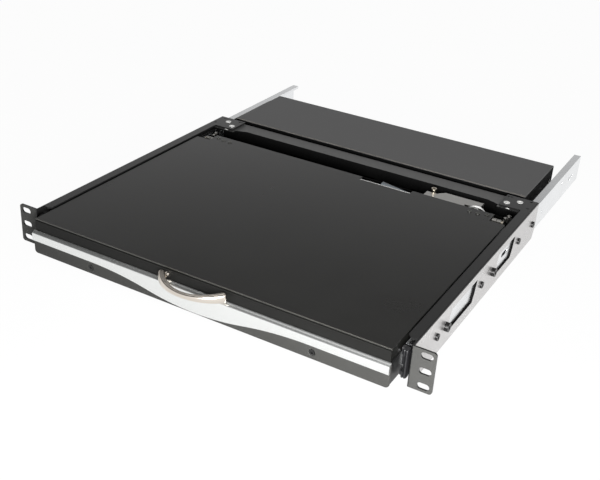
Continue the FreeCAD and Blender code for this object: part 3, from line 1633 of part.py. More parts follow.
def hinge_base():
    """Drawer half of a hinge: a foot, a post and a knuckle."""
    body = new_body("hinge_base_right")
    foot_side = drawer_side - d.drawer_sheet - d.deck_clearance
    foot_top = tray_floor + d.hinge_foot_height
    rear = hinge_y + d.hinge_foot_length / 2
    foot = rectangle(foot_side - d.hinge_foot_width, foot_side, rear - d.hinge_foot_length, rear)
    pad(body, "foot", "Z", tray_floor, foot_top, foot)
    radius = d.knuckle_radius
    front, back = hinge_y - radius, hinge_y + radius
    post = [
        corner(front, foot_top),
        corner(back, foot_top),
        corner(back, d.hinge_z),
        bend(front, d.hinge_z, hinge_y, d.hinge_z, "left"),
    ]
    pad(body, "post", "X", base_start, base_end, post, circle(hinge_y, d.hinge_z, d.pin_radius))
    mirrored_node(body, "hinge_base_left")


def hinge_pins():
    """Headed pins, tight in the bases and running in the leaves."""
    start = (leaf_start + d.knuckle_gap / 2, hinge_y, d.hinge_z)
    shaft = cylinder("pin_shaft", d.pin_radius, base_end - start[0], start, "X")
    seat = (base_end, hinge_y, d.hinge_z)
    head = cylinder("pin_head", d.pin_head_radius, d.pin_head_length, seat, "X")
    pin = fuse("hinge_pin_right", [shaft, head])
    group("hinge_pins", [pin, mirror(pin, "hinge_pin_left")])


def hinge_fixings():
    """Screws through the lid's top into the hinge arms."""
    parts = []
    reach = d.lid_wall + d.hinge_plate_height
    for i, (x, y) in enumerate(lid_screw_places()):
        head = (d.lid_screw_radius, d.lid_screw_height)
        item = screw(f"lid_screw_{i}", (x, y, d.lid_top), "Z", d.small_screw_radius, *head, reach)
        parts += [item, mirror(item, f"lid_screw_left_{i}")]
    group("hinge_screws", parts)


# ---------------------------------------------------------------- rear of the drawer
LEAD_ROUTE = [(141, 296, 3), (155, 296, 19.5), (171, 298, 18), (177, 299, 0), (183, 301, -16)]
LEAD_HOME = 316  # where the drawer's rear is for these points; they move with it


def cable_cover():
    """Bent sheet over the cables behind the hinge, with a standoff at its cut-back corner."""
    body = new_body("cable_cover")
    left, right = d.cover_left, d.cover_right
    front, back = hinge_y + d.cover_hinge_gap, drawer_rear - d.cover_rear_gap
    step_x, step_y = left + d.cover_step, back - d.cover_step_depth
    step_end = step_x + d.cover_step_slant
    outline = [
        corner(left, front),
        corner(right, front),
        corner(right, back),
        corner(step_end, back),
        corner(step_x, step_y),
        corner(left, step_y),
    ]
    hole_right, hole_front = right - d.cover_hole_side, front + d.cover_hole_front
    hole_left, hole_rear = hole_right - d.cover_hole_length, hole_front + d.cover_hole_width
    hole = rectangle(hole_left, hole_right, hole_front, hole_rear)
    under = d.cover_top - d.cover_metal
    pad(body, "top", "Z", under, d.cover_top, outline, hole)
    pad(body, "front", "Z", tray_floor, d.cover_top, rectangle(left, right, front, front + d.cover_metal))
    pad(body, "back", "Z", tray_floor, d.cover_top, rectangle(step_end, right, back - d.cover_metal, back))

    def top_bend(edge):
        middle = edge.BoundBox.Center
        return along(edge, AXIS_X) and near(middle.z, d.cover_top) and near(middle.y, front)

    round_edges(body, "bend", d.cover_metal * 0.9, top_bend)
    x, y = left + d.standoff_inset, drawer_rear - d.standoff_rear_gap
    post = cylinder("standoff_post", d.standoff_radius, d.standoff_top - tray_floor, (x, y, tray_floor), "Z")
    depth = d.standoff_bore_depth
    bore = cylinder("standoff_bore", d.standoff_radius / 2, depth + 1, (x, y, d.standoff_top - depth), "Z")
    single(cut("standoff", post, bore), "cover_standoff")


def round_route(points):
    """Straight runs joined by tangent arcs, each as large as its two shorter run allows."""
    edges = []
    start = points[0]
    for before, at, after in zip(points, points[1:], points[2:]):
        inward, outward = (before - at).normalize(), (after - at).normalize()
        half_turn = (math.pi - inward.getAngle(outward)) / 2
        trim = 0.45 * min((before - at).Length, (after - at).Length)
        radius = trim / math.tan(half_turn)
        first, last = at + inward * trim, at + outward * trim
        middle = (inward + outward).normalize()
        apex = at + middle * (radius / math.cos(half_turn) - radius)
        edges.append(Part.LineSegment(start, first).toShape())
        edges.append(Part.Arc(first, apex, last).toShape())
        print(f"lead: turn {math.degrees(2 * half_turn):.0f} degrees, radius {radius:.1f}")
        start = last
    edges.append(Part.LineSegment(start, points[-1]).toShape())
    return Part.Wire(edges)


def white_lead():
    """Lead that comes up through the cable cover and turns down beside the hinge."""
    points = [Vector(*point) + Vector(0, drawer_rear.value - LEAD_HOME, 0) for point in LEAD_ROUTE]
    path = round_route(points)
    ring = Part.Wire(Part.Circle(points[0], points[1] - points[0], d.lead_radius.value).toShape())
    tube = path.makePipeShell([ring], True, False)
    expected = math.pi * d.lead_radius.value**2 * path.Length
    print(f"lead: length {path.Length:.1f}, volume {tube.Volume:.1f} against {expected:.1f}")
    item = doc.addObject("Part::Feature", "lead")
    item.Shape = tube
    single(item, "white_lead")


# ---------------------------------------------------------------- build and write
def build():
    """Make every sub-part."""
    side_panel()
    panel_fixings()
    outer_rail()
    middle_rail()
    inner_rail()
    inner_rail_fixings()
    middle_bumper()
    ball_cages()
    crossmember()
    gusset_fixings()
    box_base()
    box_cover()
    box_contents()
    box_fixings()
    tray()
    fascia()
    bow_trim()
    keyboard()
    keyboard_deck()
    touch_pad()
    lid_cover()
    lid_bezel()
    display()
    handle()
    flat_cable()
    hinge_leaf()
    hinge_base()
    hinge_pins()
    hinge_fixings()
    cable_cover()
    white_lead()
    doc.recompute()


def check_document():
    """Stop if any object failed, or any sub-part has no sound shape."""
    for item in doc.Objects:
        if "Invalid" in item.State or "Error" in item.State:
            raise RuntimeError(f"{item.Name} failed: {item.State}")
    for name, item in nodes.items():
        if item.Shape.isNull() or not item.Shape.isValid() or not item.Shape.Solids:
            raise RuntimeError(f"{name} has no valid solid")


def write_parts():
    """Write each sub-part to its own file."""
    os.makedirs("parts", exist_ok=True)
    for name, item in nodes.items():
        item.Shape.exportStep(f"parts/{name}.step")
    print(f"{len(nodes)} parts written")


build()
check_document()
write_parts()
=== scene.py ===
# %% [markdown]
# # A rack console drawer
# This lesson dresses a thin drawer for an equipment rack: a painted lid that hides a display, a keyboard
# under it, and long steel slides at its sides. The metal frame comes from a CAD model and keeps its size.
# Blender adds what CAD can't say: soft edges, paint, plating, keys with a dished top, and light.

# %% Load the frame
import json
import math

import bmesh
import bpy
import numpy as np
from mathutils import Matrix, Vector

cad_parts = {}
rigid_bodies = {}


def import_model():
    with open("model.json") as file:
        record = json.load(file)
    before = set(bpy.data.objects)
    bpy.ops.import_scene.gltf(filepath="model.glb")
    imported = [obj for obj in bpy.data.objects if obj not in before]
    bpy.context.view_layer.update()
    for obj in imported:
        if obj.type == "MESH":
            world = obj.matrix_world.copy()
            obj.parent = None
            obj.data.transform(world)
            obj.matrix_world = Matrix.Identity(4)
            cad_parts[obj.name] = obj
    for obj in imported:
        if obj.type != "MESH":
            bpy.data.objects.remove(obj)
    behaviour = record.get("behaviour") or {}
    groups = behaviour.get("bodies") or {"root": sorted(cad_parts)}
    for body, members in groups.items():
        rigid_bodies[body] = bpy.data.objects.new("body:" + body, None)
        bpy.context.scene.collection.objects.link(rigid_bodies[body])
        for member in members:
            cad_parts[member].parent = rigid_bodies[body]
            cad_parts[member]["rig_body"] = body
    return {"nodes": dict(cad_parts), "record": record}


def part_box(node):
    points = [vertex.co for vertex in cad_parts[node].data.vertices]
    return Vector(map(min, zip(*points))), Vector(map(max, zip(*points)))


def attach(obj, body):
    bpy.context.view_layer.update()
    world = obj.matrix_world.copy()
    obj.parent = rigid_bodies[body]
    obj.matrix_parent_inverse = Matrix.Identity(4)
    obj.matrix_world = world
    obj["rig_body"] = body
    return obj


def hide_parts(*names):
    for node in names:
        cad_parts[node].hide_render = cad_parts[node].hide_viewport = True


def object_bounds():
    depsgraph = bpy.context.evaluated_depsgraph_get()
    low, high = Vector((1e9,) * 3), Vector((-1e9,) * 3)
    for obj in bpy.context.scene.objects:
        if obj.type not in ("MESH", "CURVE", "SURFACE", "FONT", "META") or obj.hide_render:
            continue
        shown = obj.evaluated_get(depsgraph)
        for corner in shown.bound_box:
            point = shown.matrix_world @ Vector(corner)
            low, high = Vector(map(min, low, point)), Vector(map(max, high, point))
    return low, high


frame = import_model()
cad_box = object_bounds()
nodes = frame["nodes"]
MM = 0.001

# %% [markdown]
# ## Camera
# The drawer is seen from its right front and above, with a slight roll, as when someone holds the camera
# by hand. The place and the turns are numbers that a maker would write down next to the tripod.

# %% Camera
CAMERA_PLACE = Vector((0.4519, -0.6382, 0.4791))
CAMERA_TURN, CAMERA_DOWN, CAMERA_ROLL = (math.radians(a) for a in (-28.83, 28.33, 3.52))
CAMERA_LENS, CAMERA_NEAR = 56.39, 0.01


def aim(place, forward, roll=0.0):
    """World matrix of a lamp or camera: -Z lies along forward, X is level, and then it rolls."""
    forward = Vector(forward).normalized()
    right = forward.cross(Vector((0, 0, 1))).normalized()
    up = right.cross(forward)
    x_axis = right * math.cos(roll) + up * math.sin(roll)
    y_axis = up * math.cos(roll) - right * math.sin(roll)
    axes = Matrix((x_axis, y_axis, -forward)).transposed().to_4x4()
    return Matrix.Translation(place) @ axes


camera = bpy.data.objects.new("camera", bpy.data.cameras.new("camera"))
camera.data.lens = CAMERA_LENS
camera.data.clip_start = CAMERA_NEAR
looks = (math.sin(CAMERA_TURN) * math.cos(CAMERA_DOWN), math.cos(CAMERA_TURN) * math.cos(CAMERA_DOWN),
         -math.sin(CAMERA_DOWN))
camera.matrix_world = aim(CAMERA_PLACE, looks, CAMERA_ROLL)
bpy.context.scene.collection.objects.link(camera)
bpy.context.scene.camera = camera
print("camera stands", round((CAMERA_PLACE - Vector((0, 0.2, 0))).length, 3), "m from the drawer")

# %% [markdown]
# ## Finishes
# Every surface here is paint, plating or moulded plastic. Each gets the same layers of detail: a base
# shader, a slow change of tint and roughness as from handling, and a fine grain in the bump, which the
# smooth castings leave out. One helper builds them, so that a finish is one line of numbers. The numbers
# that stay the same all over a surface go straight into the shader's own sockets.


# %% Finish helper
HANDLING_WAVES, NOISE_DETAIL = 25.0, 3.0


def ramp(tree, source, low, high, start=0.0, end=1.0):
    """Map start..end straight onto low..high, and hold the ends."""
    mapped = tree.nodes.new("ShaderNodeMapRange")
    for name, number in (("From Min", start), ("From Max", end), ("To Min", low), ("To Max", high)):
        mapped.inputs[name].default_value = number
    tree.links.new(source, mapped.inputs["Value"])
    return mapped.outputs["Result"]


def noise(tree, where, scale):
    """A noise value at a scale in waves per metre."""
    texture = tree.nodes.new("ShaderNodeTexNoise")
    texture.inputs["Scale"].default_value = scale
    texture.inputs["Detail"].default_value = NOISE_DETAIL
    tree.links.new(where, texture.inputs["Vector"])
    return texture.outputs["Fac"]


def finish(name, colour, metallic=0.0, rough=(0.4, 0.5), grain=(2000, 0.02), stretch=(1, 1, 1), tint=0.12,
           specular=0.5):
    """A surface: base colour with a slow tint, roughness between two values, and a fine grain.

    grain is waves per metre and bump strength, where 0 is no bump at all; stretch squeezes the grain along
    each axis, which turns round specks into brush lines.
    """
    surface = bpy.data.materials.new(name)
    surface.use_nodes = True
    tree = surface.node_tree
    shader = tree.nodes["Principled BSDF"]
    shader.inputs["Metallic"].default_value = metallic
    shader.inputs["Specular IOR Level"].default_value = specular
    place = tree.nodes.new("ShaderNodeTexCoord").outputs["Object"]
    slow = noise(tree, place, HANDLING_WAVES)
    mix = tree.nodes.new("ShaderNodeMix")
    mix.data_type = "RGBA"
    mix.inputs["A"].default_value = (*(c * (1 - tint) for c in colour), 1)
    mix.inputs["B"].default_value = (*(min(1, c * (1 + tint)) for c in colour), 1)
    tree.links.new(slow, mix.inputs["Factor"])
    tree.links.new(mix.outputs["Result"], shader.inputs["Base Color"])
    tree.links.new(ramp(tree, slow, *rough), shader.inputs["Roughness"])
    waves, depth = grain
    if depth:
        mapping = tree.nodes.new("ShaderNodeMapping")
        mapping.inputs["Scale"].default_value = stretch
        tree.links.new(place, mapping.inputs["Vector"])
        bump = tree.nodes.new("ShaderNodeBump")
        bump.inputs["Strength"].default_value = depth
        bump.inputs["Distance"].default_value = MM
        tree.links.new(noise(tree, mapping.outputs["Vector"], waves), bump.inputs["Height"])
        tree.links.new(bump.outputs["Normal"], shader.inputs["Normal"])
    surface.diffuse_color = (*colour, 1)
    return surface


# %% [markdown]
# ## Paint, plating and plastic
# Powder coat is black with a faint orange peel. Zinc plate is a bright metal with drawn lines along the
# rail. Satin nickel is warmer. The plastics are near black with a fine grain and no metal at all. Some
# sheets also get lit or shaded copies of their paint on part of their faces: painted light, painted shade,
# a painted sheen and a painted highlight. Those coats are made here too.

# %% The finishes, one for each material slot of the record
ALONG_Y, ALONG_X = (1.0, 0.03, 1.0), (0.03, 1.0, 1.0)
FINISHES = {
    "panel_paint": finish("panel_paint", (0.010, 0.010, 0.010), rough=(0.28, 0.33), grain=(900, 0.01)),
    "rail_zinc": finish("rail_zinc", (0.80, 0.81, 0.82), 1.0, (0.20, 0.30), (1500, 0.006), ALONG_Y),
    "black_screw": finish("black_screw", (0.008, 0.008, 0.008), 0.2, (0.3, 0.4), (3000, 0.02)),
    "bright_screw": finish("bright_screw", (0.92, 0.91, 0.88), 0.35, (0.18, 0.26), (3000, 0.005)),
    "cross_paint": finish("cross_paint", (0.004, 0.004, 0.004), rough=(0.55, 0.65), grain=(900, 0.03),
                          specular=0.08),
    "box_paint": finish("box_paint", (0.085, 0.085, 0.085), rough=(0.42, 0.5), grain=(900, 0.03)),
    "board_green": finish("board_green", (0.02, 0.12, 0.05), rough=(0.3, 0.4), grain=(800, 0.1)),
    "socket_metal": finish("socket_metal", (0.6, 0.6, 0.6), 1.0, (0.25, 0.35), (2500, 0.005)),
    "inlet_black": finish("inlet_black", (0.015, 0.015, 0.015), rough=(0.35, 0.5), grain=(2500, 0.05)),
    "bumper_black": finish("bumper_black", (0.010, 0.010, 0.011), rough=(0.28, 0.38), grain=(2500, 0.05)),
    "ball_steel": finish("ball_steel", (0.8, 0.8, 0.8), 1.0, (0.08, 0.14), (900, 0.0)),
    "tray_paint": finish("tray_paint", (0.008, 0.008, 0.008), rough=(0.4, 0.5), grain=(900, 0.05)),
    "fascia_black": finish("fascia_black", (0.037, 0.037, 0.035), rough=(0.42, 0.5), grain=(1200, 0.05),
                           specular=0.1),
    "trim_silver": finish("trim_silver", (0.75, 0.76, 0.75), 0.92, (0.265, 0.275), (250, 0), tint=0.01),
    "deck_black": finish("deck_black", (0.020, 0.020, 0.021), rough=(0.5, 0.6), grain=(1800, 0.12)),
    "key_black": finish("key_black", (0.030, 0.030, 0.031), rough=(0.45, 0.58), grain=(2200, 0.10)),
    "key_bed": finish("key_bed", (0.012, 0.012, 0.012), 0.3, (0.5, 0.6), (900, 0.05)),
    "touch_grey": finish("touch_grey", (0.05, 0.05, 0.055), rough=(0.35, 0.4), grain=(3000, 0.06)),
    "lid_paint": finish("lid_paint", (0.0085, 0.0084, 0.0076), rough=(0.26, 0.31), grain=(900, 0.03)),
    "bezel_black": finish("bezel_black", (0.0085, 0.0085, 0.008), rough=(0.4, 0.5), grain=(1200, 0.05),
                          specular=0.1),
    "screen_black": finish("screen_black", (0.006, 0.006, 0.008), rough=(0.22, 0.26), grain=(4000, 0.02)),
    "osd_black": finish("osd_black", (0.02, 0.02, 0.02), rough=(0.4, 0.5), grain=(2500, 0.05)),
    "handle_nickel": finish("handle_nickel", (0.68, 0.625, 0.56), 1.0, (0.25, 0.27), (2500, 0), tint=0.02),
    "hinge_steel": finish("hinge_steel", (0.36, 0.35, 0.33), 1.0, (0.22, 0.32), (2500, 0.005)),
    "pin_brass": finish("pin_brass", (0.60, 0.54, 0.45), 1.0, (0.2, 0.3), (2500, 0.005)),
    "cable_grey": finish("cable_grey", (0.12, 0.135, 0.15), rough=(0.45, 0.55), grain=(800, 0.1)),
    "cover_zinc": finish("cover_zinc", (0.56, 0.55, 0.53), 1.0, (0.28, 0.40), (1200, 0.008), ALONG_X),
    "lead_white": finish("lead_white", (0.92, 0.92, 0.89), rough=(0.4, 0.5), grain=(1500, 0.05)),
}
# Painted sheen: a light grey metallic copy of the black panel paint, standing in for the glare on the side
# walls.
WALL_PAINTED_SHEEN = finish("wall_sheen", (0.55, 0.54, 0.535), 0.8, (0.24, 0.32), (900, 0.006), tint=0.04)
# Painted light: a lighter grey copy of the black panel paint for the ears' front faces.
EAR_PAINTED_LIGHT = finish("ear_coat", (0.046, 0.046, 0.044), rough=(0.42, 0.5), grain=(1200, 0.05), specular=0.1)
# Painted light: a lighter grey copy of the crossmember's black paint for its top faces.
TOP_PAINTED_LIGHT = finish("top_coat", (0.092, 0.092, 0.090), rough=(0.36, 0.44), grain=(900, 0.03))
# Painted highlight: a bright metallic copy of the lid paint for the lid's rounded front rim.
RIM_PAINTED_HIGHLIGHT = finish("rim_coat", (0.17, 0.165, 0.15), 0.8, (0.22, 0.3), (1200, 0.01))
# Painted shade: a near-black copy of the paint for the box's side and front walls and the side panels'
# window edges.
PAINTED_SHADE_WALL = finish("dull_wall", (0.003, 0.003, 0.003), rough=(0.6, 0.7), grain=(900, 0.03), specular=0.05)
WORN_STEEL = finish("worn_steel", (0.14, 0.14, 0.13), 0.9, (0.25, 0.35), (2500, 0.005))
print("finishes for the slots:", len(FINISHES))

# %% Paint every node of the frame
SLOT_OF = {row["node"]: row["material_slot"] for row in frame["record"]["subparts"]}


def paint(piece, slot_name):
    """Give a piece one finish from the record's slots."""
    piece.data.materials.clear()
    piece.data.materials.append(FINISHES[slot_name])


for node_name, node in nodes.items():
    node.data.materials.clear()
    node.data.materials.append(WORN_STEEL if node_name == "hinge_screws" else FINISHES[SLOT_OF[node_name]])
print("painted nodes:", len(nodes))

# %% [markdown]
# ## Studio
# The drawer lies on a pale table under two large soft lamps and a small one at its front. The table is a
# plain diffuse plane, lifted to near white for the camera and for reflections, and it still takes the
# object's shadow. The room above is bright at the height of the table and darker overhead, as a studio
# is: black paint that faces up mirrors the dark part and stays black, and upright silver mirrors the table.


# %% Floor
FLOOR_SIDE, FLOOR_DROP, FLOOR_GREY, FLOOR_ROUGHNESS, FLOOR_LIFT = 8.0, 0.0005, 0.86, 0.9, 0.96


def plane(name, side, height):
    """A level square, its corners at plus and minus half of its side."""
    grid = np.array([(-1, -1), (1, -1), (1, 1), (-1, 1)]) * side / 2
    points = np.column_stack([grid, np.full(4, height)])
    mesh = bpy.data.meshes.new(name)
    mesh.from_pydata(points.tolist(), [], [(0, 1, 2, 3)])
    item = bpy.data.objects.new(name, mesh)
    bpy.context.scene.collection.objects.link(item)
    return item


def highest(tree, first, *others):
    """The largest of several 0..1 values."""
    for other in others:
        bigger = tree.nodes.new("ShaderNodeMath")
        bigger.operation = "MAXIMUM"
        tree.links.new(first, bigger.inputs[0])
        tree.links.new(other, bigger.inputs[1])
        first = bigger.outputs["Value"]
    return first


floor = plane("floor", FLOOR_SIDE, cad_box[0][2] - FLOOR_DROP)
pale = bpy.data.materials.new("table_top")
pale.use_nodes = True
tree = pale.node_tree
diffuse = tree.nodes["Principled BSDF"]
diffuse.inputs["Base Color"].default_value = (FLOOR_GREY, FLOOR_GREY, FLOOR_GREY, 1)
diffuse.inputs["Roughness"].default_value = FLOOR_ROUGHNESS
diffuse.inputs["Specular IOR Level"].default_value = 0.0
glow = tree.nodes.new("ShaderNodeEmission")
glow.inputs["Color"].default_value = (1, 1, 1, 1)
mixed = tree.nodes.new("ShaderNodeMixShader")
path = tree.nodes.new("ShaderNodeLightPath").outputs
seen = highest(tree, path["Is Camera Ray"], path["Is Glossy Ray"], path["Is Transmission Ray"])
tree.links.new(ramp(tree, seen, 0.0, FLOOR_LIFT), mixed.inputs["Fac"])
tree.links.new(diffuse.outputs["BSDF"], mixed.inputs[1])
tree.links.new(glow.outputs["Emission"], mixed.inputs[2])
tree.links.new(mixed.outputs["Shader"], tree.nodes["Material Output"].inputs["Surface"])
floor.data.materials.append(pale)
print("floor:", FLOOR_SIDE, "m wide")

# %% World
WORLD_LIGHT, SKY_LOW, SKY_HIGH, SKY_SPAN = 0.15, 1.0, 0.05, (0.24, 0.55)
world = bpy.data.worlds.new("studio")
bpy.context.scene.world = world
world.use_nodes = True
tree = world.node_tree
background = tree.nodes["Background"]
background.inputs["Color"].default_value = (1, 1, 1, 1)
split = tree.nodes.new("ShaderNodeSeparateXYZ")
tree.links.new(tree.nodes.new("ShaderNodeTexCoord").outputs["Generated"], split.inputs["Vector"])
mirrored = ramp(tree, split.outputs["Z"], SKY_LOW, SKY_HIGH, *SKY_SPAN)
path = tree.nodes.new("ShaderNodeLightPath").outputs
room = tree.nodes.new("ShaderNodeMix")
tree.links.new(path["Is Glossy Ray"], room.inputs["Factor"])
room.inputs["A"].default_value = WORLD_LIGHT
tree.links.new(mirrored, room.inputs["B"])
strength = highest(tree, room.outputs["Result"], path["Is Camera Ray"], path["Is Transmission Ray"])
tree.links.new(strength, background.inputs["Strength"])
print("room light:", WORLD_LIGHT)

# %% Lamps
LAMPS = {  # place and side in metres, power in watts
    "front_lamp": ((0.36, -0.42, 0.18), 0.3, 9.4),
    "right_lamp": ((2.1, 0.4, 1.1), 1.6, 12.0),
    "top_lamp": ((-0.6, 0.9, 2.6), 2.2, 12.0),
}
AIM_AT = Vector((0.0, 0.15, 0.0))
for lamp_name, (place, side, power) in LAMPS.items():
    lamp = bpy.data.lights.new(lamp_name, "AREA")
    lamp.size = side
    lamp.energy = power
    item = bpy.data.objects.new(lamp_name, lamp)
    item.matrix_world = aim(Vector(place), AIM_AT - Vector(place))
    bpy.context.scene.collection.objects.link(item)
bpy.context.scene.view_settings.view_transform = "Standard"
print("lamps:", ", ".join(LAMPS))

# %% [markdown]
# ## White lead
# A thin white lead leaves the cable cover, rises over it and drops back into the tray. It is a soft
# cord, so it is one smooth NURBS line led by a few points listed in millimetres, with a round
# section.

# %% White lead
LEAD_ROUTE = [(141, 296, 3), (155, 296, 19.5), (171, 298, 18), (177, 299, 0), (183, 301, -16)]
LEAD_RADIUS, LEAD_ORDER, LEAD_STEPS, LEAD_ROUNDNESS = 1.1, 3, 16, 5
curve = bpy.data.curves.new("white_lead_line", "CURVE")
curve.dimensions = "3D"
line = curve.splines.new("NURBS")
line.points.add(len(LEAD_ROUTE) - 1)
for point, place in zip(line.points, LEAD_ROUTE):
    point.co = (*(number * MM for number in place), 1)
line.order_u = LEAD_ORDER
line.use_endpoint_u = True
line.resolution_u = LEAD_STEPS
curve.bevel_depth = LEAD_RADIUS * MM
curve.bevel_resolution = LEAD_ROUNDNESS
curve.use_fill_caps = True
lead = bpy.data.objects.new("white_lead_cord", curve)
bpy.context.scene.collection.objects.link(lead)
lead.data.materials.append(FINISHES["lead_white"])
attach(lead, "drawer")
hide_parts("white_lead")
print("lead:", len(LEAD_ROUTE), "points,", 2 * LEAD_RADIUS, "mm thick")

# %% [markdown]
# ## Soft edges
# A folded or moulded edge is never perfectly sharp, and the thin bright line along it is what tells the
# eye that a panel has thickness. A CAD mesh is loose triangles, so its copy is merged first, then flat
# neighbours are joined and a Bevel modifier rounds what is left. A Weighted Normal modifier then lets the
# largest face at each corner decide the shading, so that a wide panel stays flat up to its rounded rim.
# The copy stands for the node.


# %% Soft-edge helper
MERGE_DISTANCE, EDGE_SEGMENTS = 1e-6, 2
FLAT_ANGLE, EDGE_ANGLE = math.radians(0.5), math.radians(25)
NORMAL_WEIGHT, NORMAL_THRESHOLD = 100, 0.0001


def softened(node_name, width):
    """A copy of a CAD node with its sharp edges rounded by a small width in metres."""
    source = nodes[node_name]
    piece = bpy.data.objects.new(f"{node_name}_soft", source.data.copy())
    bpy.context.scene.collection.objects.link(piece)
    net = bmesh.new()
    net.from_mesh(piece.data)
    bmesh.ops.remove_doubles(net, verts=net.verts, dist=MERGE_DISTANCE)
    bmesh.ops.dissolve_limit(net, angle_limit=FLAT_ANGLE, verts=net.verts, edges=net.edges)
    net.to_mesh(piece.data)
    net.free()
    piece.data.shade_smooth()
    bevel = piece.modifiers.new("edges", "BEVEL")
    bevel.width = width
    bevel.segments = EDGE_SEGMENTS
    bevel.limit_method = "ANGLE"
    bevel.angle_limit = EDGE_ANGLE
    bevel.miter_outer = "MITER_ARC"
    flat = piece.modifiers.new("flat_faces", "WEIGHTED_NORMAL")
    flat.weight = NORMAL_WEIGHT
    flat.thresh = NORMAL_THRESHOLD
    paint(piece, SLOT_OF[node_name])
    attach(piece, source["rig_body"])
    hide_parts(node_name)
    return piece


# %% Which pieces are softened, and by how many millimetres
SOFT_EDGES = {
    "lid_cover": 0.5, "lid_bezel": 0.4, "front_fascia": 0.35, "box_cover": 0.3, "box_base": 0.2,
    "crossmember": 0.3, "cable_cover": 0.2, "outer_rail_left": 0.2, "outer_rail_right": 0.2,
    "side_panel_left": 0.3, "side_panel_right": 0.3, "keyboard_housing": 0.3, "touchpad": 0.3,
    "touch_button_left": 0.4, "touch_button_right": 0.4, "hinge_base_left": 0.3, "hinge_base_right": 0.3,
    "hinge_leaf_left": 0.2, "hinge_leaf_right": 0.2, "tray": 0.15,
}
soft = {node_name: softened(node_name, edge * MM) for node_name, edge in SOFT_EDGES.items()}
print("softened:", len(soft))

# %% [markdown]
# ## Painted light and shade that follow the faces
# One folded sheet is given lit and shaded copies of its paint, face by face. The flat outer wall of a side
# panel gets a light grey metal that mirrors the table, a painted sheen for the glare on its black paint; its
# ear gets a lighter grey, painted light; the walls of the controller box and the edges of the side panels'
# windows get near black, painted shade; and the crossmember's top gets a lighter grey, painted light. The
# faces are found by their direction and by the plane that they lie in. The lid's rounded front rim gets a
# bright metal, a painted highlight: its faces look forwards and up at once.

# %% Coat helpers
def face_numbers(mesh, field, size):
    """One number or vector per face, read as a whole array."""
    numbers = np.empty(len(mesh.polygons) * size, np.float32)
    mesh.polygons.foreach_get(field, numbers)
    return numbers.reshape(-1, size)


def painted_light_coat(node_name, chosen, coat):
    """Give the chosen faces of a softened piece a coat of painted light, shade, sheen or highlight, and
    leave the others as they are.
    """
    mesh = soft[node_name].data
    mesh.materials.append(coat)
    slots = np.where(chosen, len(mesh.materials) - 1, face_numbers(mesh, "material_index", 1)[:, 0])
    mesh.polygons.foreach_set("material_index", slots.astype(np.int32))
    print(node_name, coat.name, "faces:", int(chosen.sum()))


# %% Coats by direction and plane
PLANE_SLACK, SQUARE_ON = 0.2, 0.99
# Every coat in this table is painted light or painted shade on a copy of the sheet's own paint.
COATS = [  # piece, axis that the faces look along, distance of their plane in millimetres, coat
    ("side_panel_left", "x", 219.5, WALL_PAINTED_SHEEN), ("side_panel_right", "x", 219.5, WALL_PAINTED_SHEEN),
    ("side_panel_left", "y", 2.0, EAR_PAINTED_LIGHT), ("side_panel_right", "y", 2.0, EAR_PAINTED_LIGHT),
    ("box_cover", "x", 201.0, PAINTED_SHADE_WALL), ("box_base", "y", 351.0, PAINTED_SHADE_WALL),
    ("crossmember", "z", 18.8, TOP_PAINTED_LIGHT),
]
for node_name, axis, distance, coat in COATS:
    mesh, column = soft[node_name].data, "xyz".index(axis)
    along = abs(face_numbers(mesh, "normal", 3)[:, column]) > SQUARE_ON
    there = abs(abs(face_numbers(mesh, "center", 3)[:, column]) - distance * MM) < PLANE_SLACK * MM
    painted_light_coat(node_name, along & there, coat)

# %% Coats of the windows' cut edges and of the lid's rim
CUT_FROM, CUT_TO, TURNED = 217.6, 219.4, 0.2
for node_name in ("side_panel_left", "side_panel_right"):
    mesh = soft[node_name].data
    place = abs(face_numbers(mesh, "center", 3)[:, 0])
    cut = abs(face_numbers(mesh, "normal", 3)[:, 0]) < TURNED
    # Painted shade: the windows' cut edges get the near-black coat.
    painted_light_coat(node_name, cut & (place > CUT_FROM * MM) & (place < CUT_TO * MM), PAINTED_SHADE_WALL)
normal = face_numbers(soft["lid_cover"].data, "normal", 3)
# Painted highlight: the lid's front rim faces get the bright metallic coat.
painted_light_coat("lid_cover", (normal[:, 1] < -TURNED) & (normal[:, 2] > TURNED), RIM_PAINTED_HIGHLIGHT)

# %% [markdown]
# ## Surfaces from numbers
# The visible moulded and cast pieces are grids of points. A row of the grid is a ring around the piece,
# and the rows follow each other along it. numpy works out all the points at once, so a shape is one
# formula, and the same few lines turn any grid into a mesh with closed ends.


# %% Grid helpers
def grid_faces(rows, columns):
    """Quads between neighbouring rings of a grid: the last column is joined to the first."""
    across = np.arange(columns)
    start = (np.arange(rows - 1)[:, None] * columns + across).ravel()
    step = np.tile(np.where(across == columns - 1, 1 - columns, 1), rows - 1)
    return np.column_stack([start, start + step, start + step + columns, start + columns])


def loft(rows):
    """Points and faces of a lofted piece: rows is (row, column, xyz) in millimetres, both ends are flat."""
    rows = np.asarray(rows, float)
    count, columns = rows.shape[:2]
    first, last = np.arange(columns)[::-1], np.arange(columns) + (count - 1) * columns
    return rows.reshape(-1, 3), [*grid_faces(count, columns), first, last]


def joined(parts):
    """Several (points, faces) pairs as one: each one's faces count on from the points before it."""
    starts = np.cumsum([0] + [len(points) for points, _ in parts[:-1]])
    faces = [face + start for start, (_, part) in zip(starts, parts) for face in part]
    return np.concatenate([points for points, _ in parts]), faces


# %% Piece helpers
POINT_MERGE = 1e-7


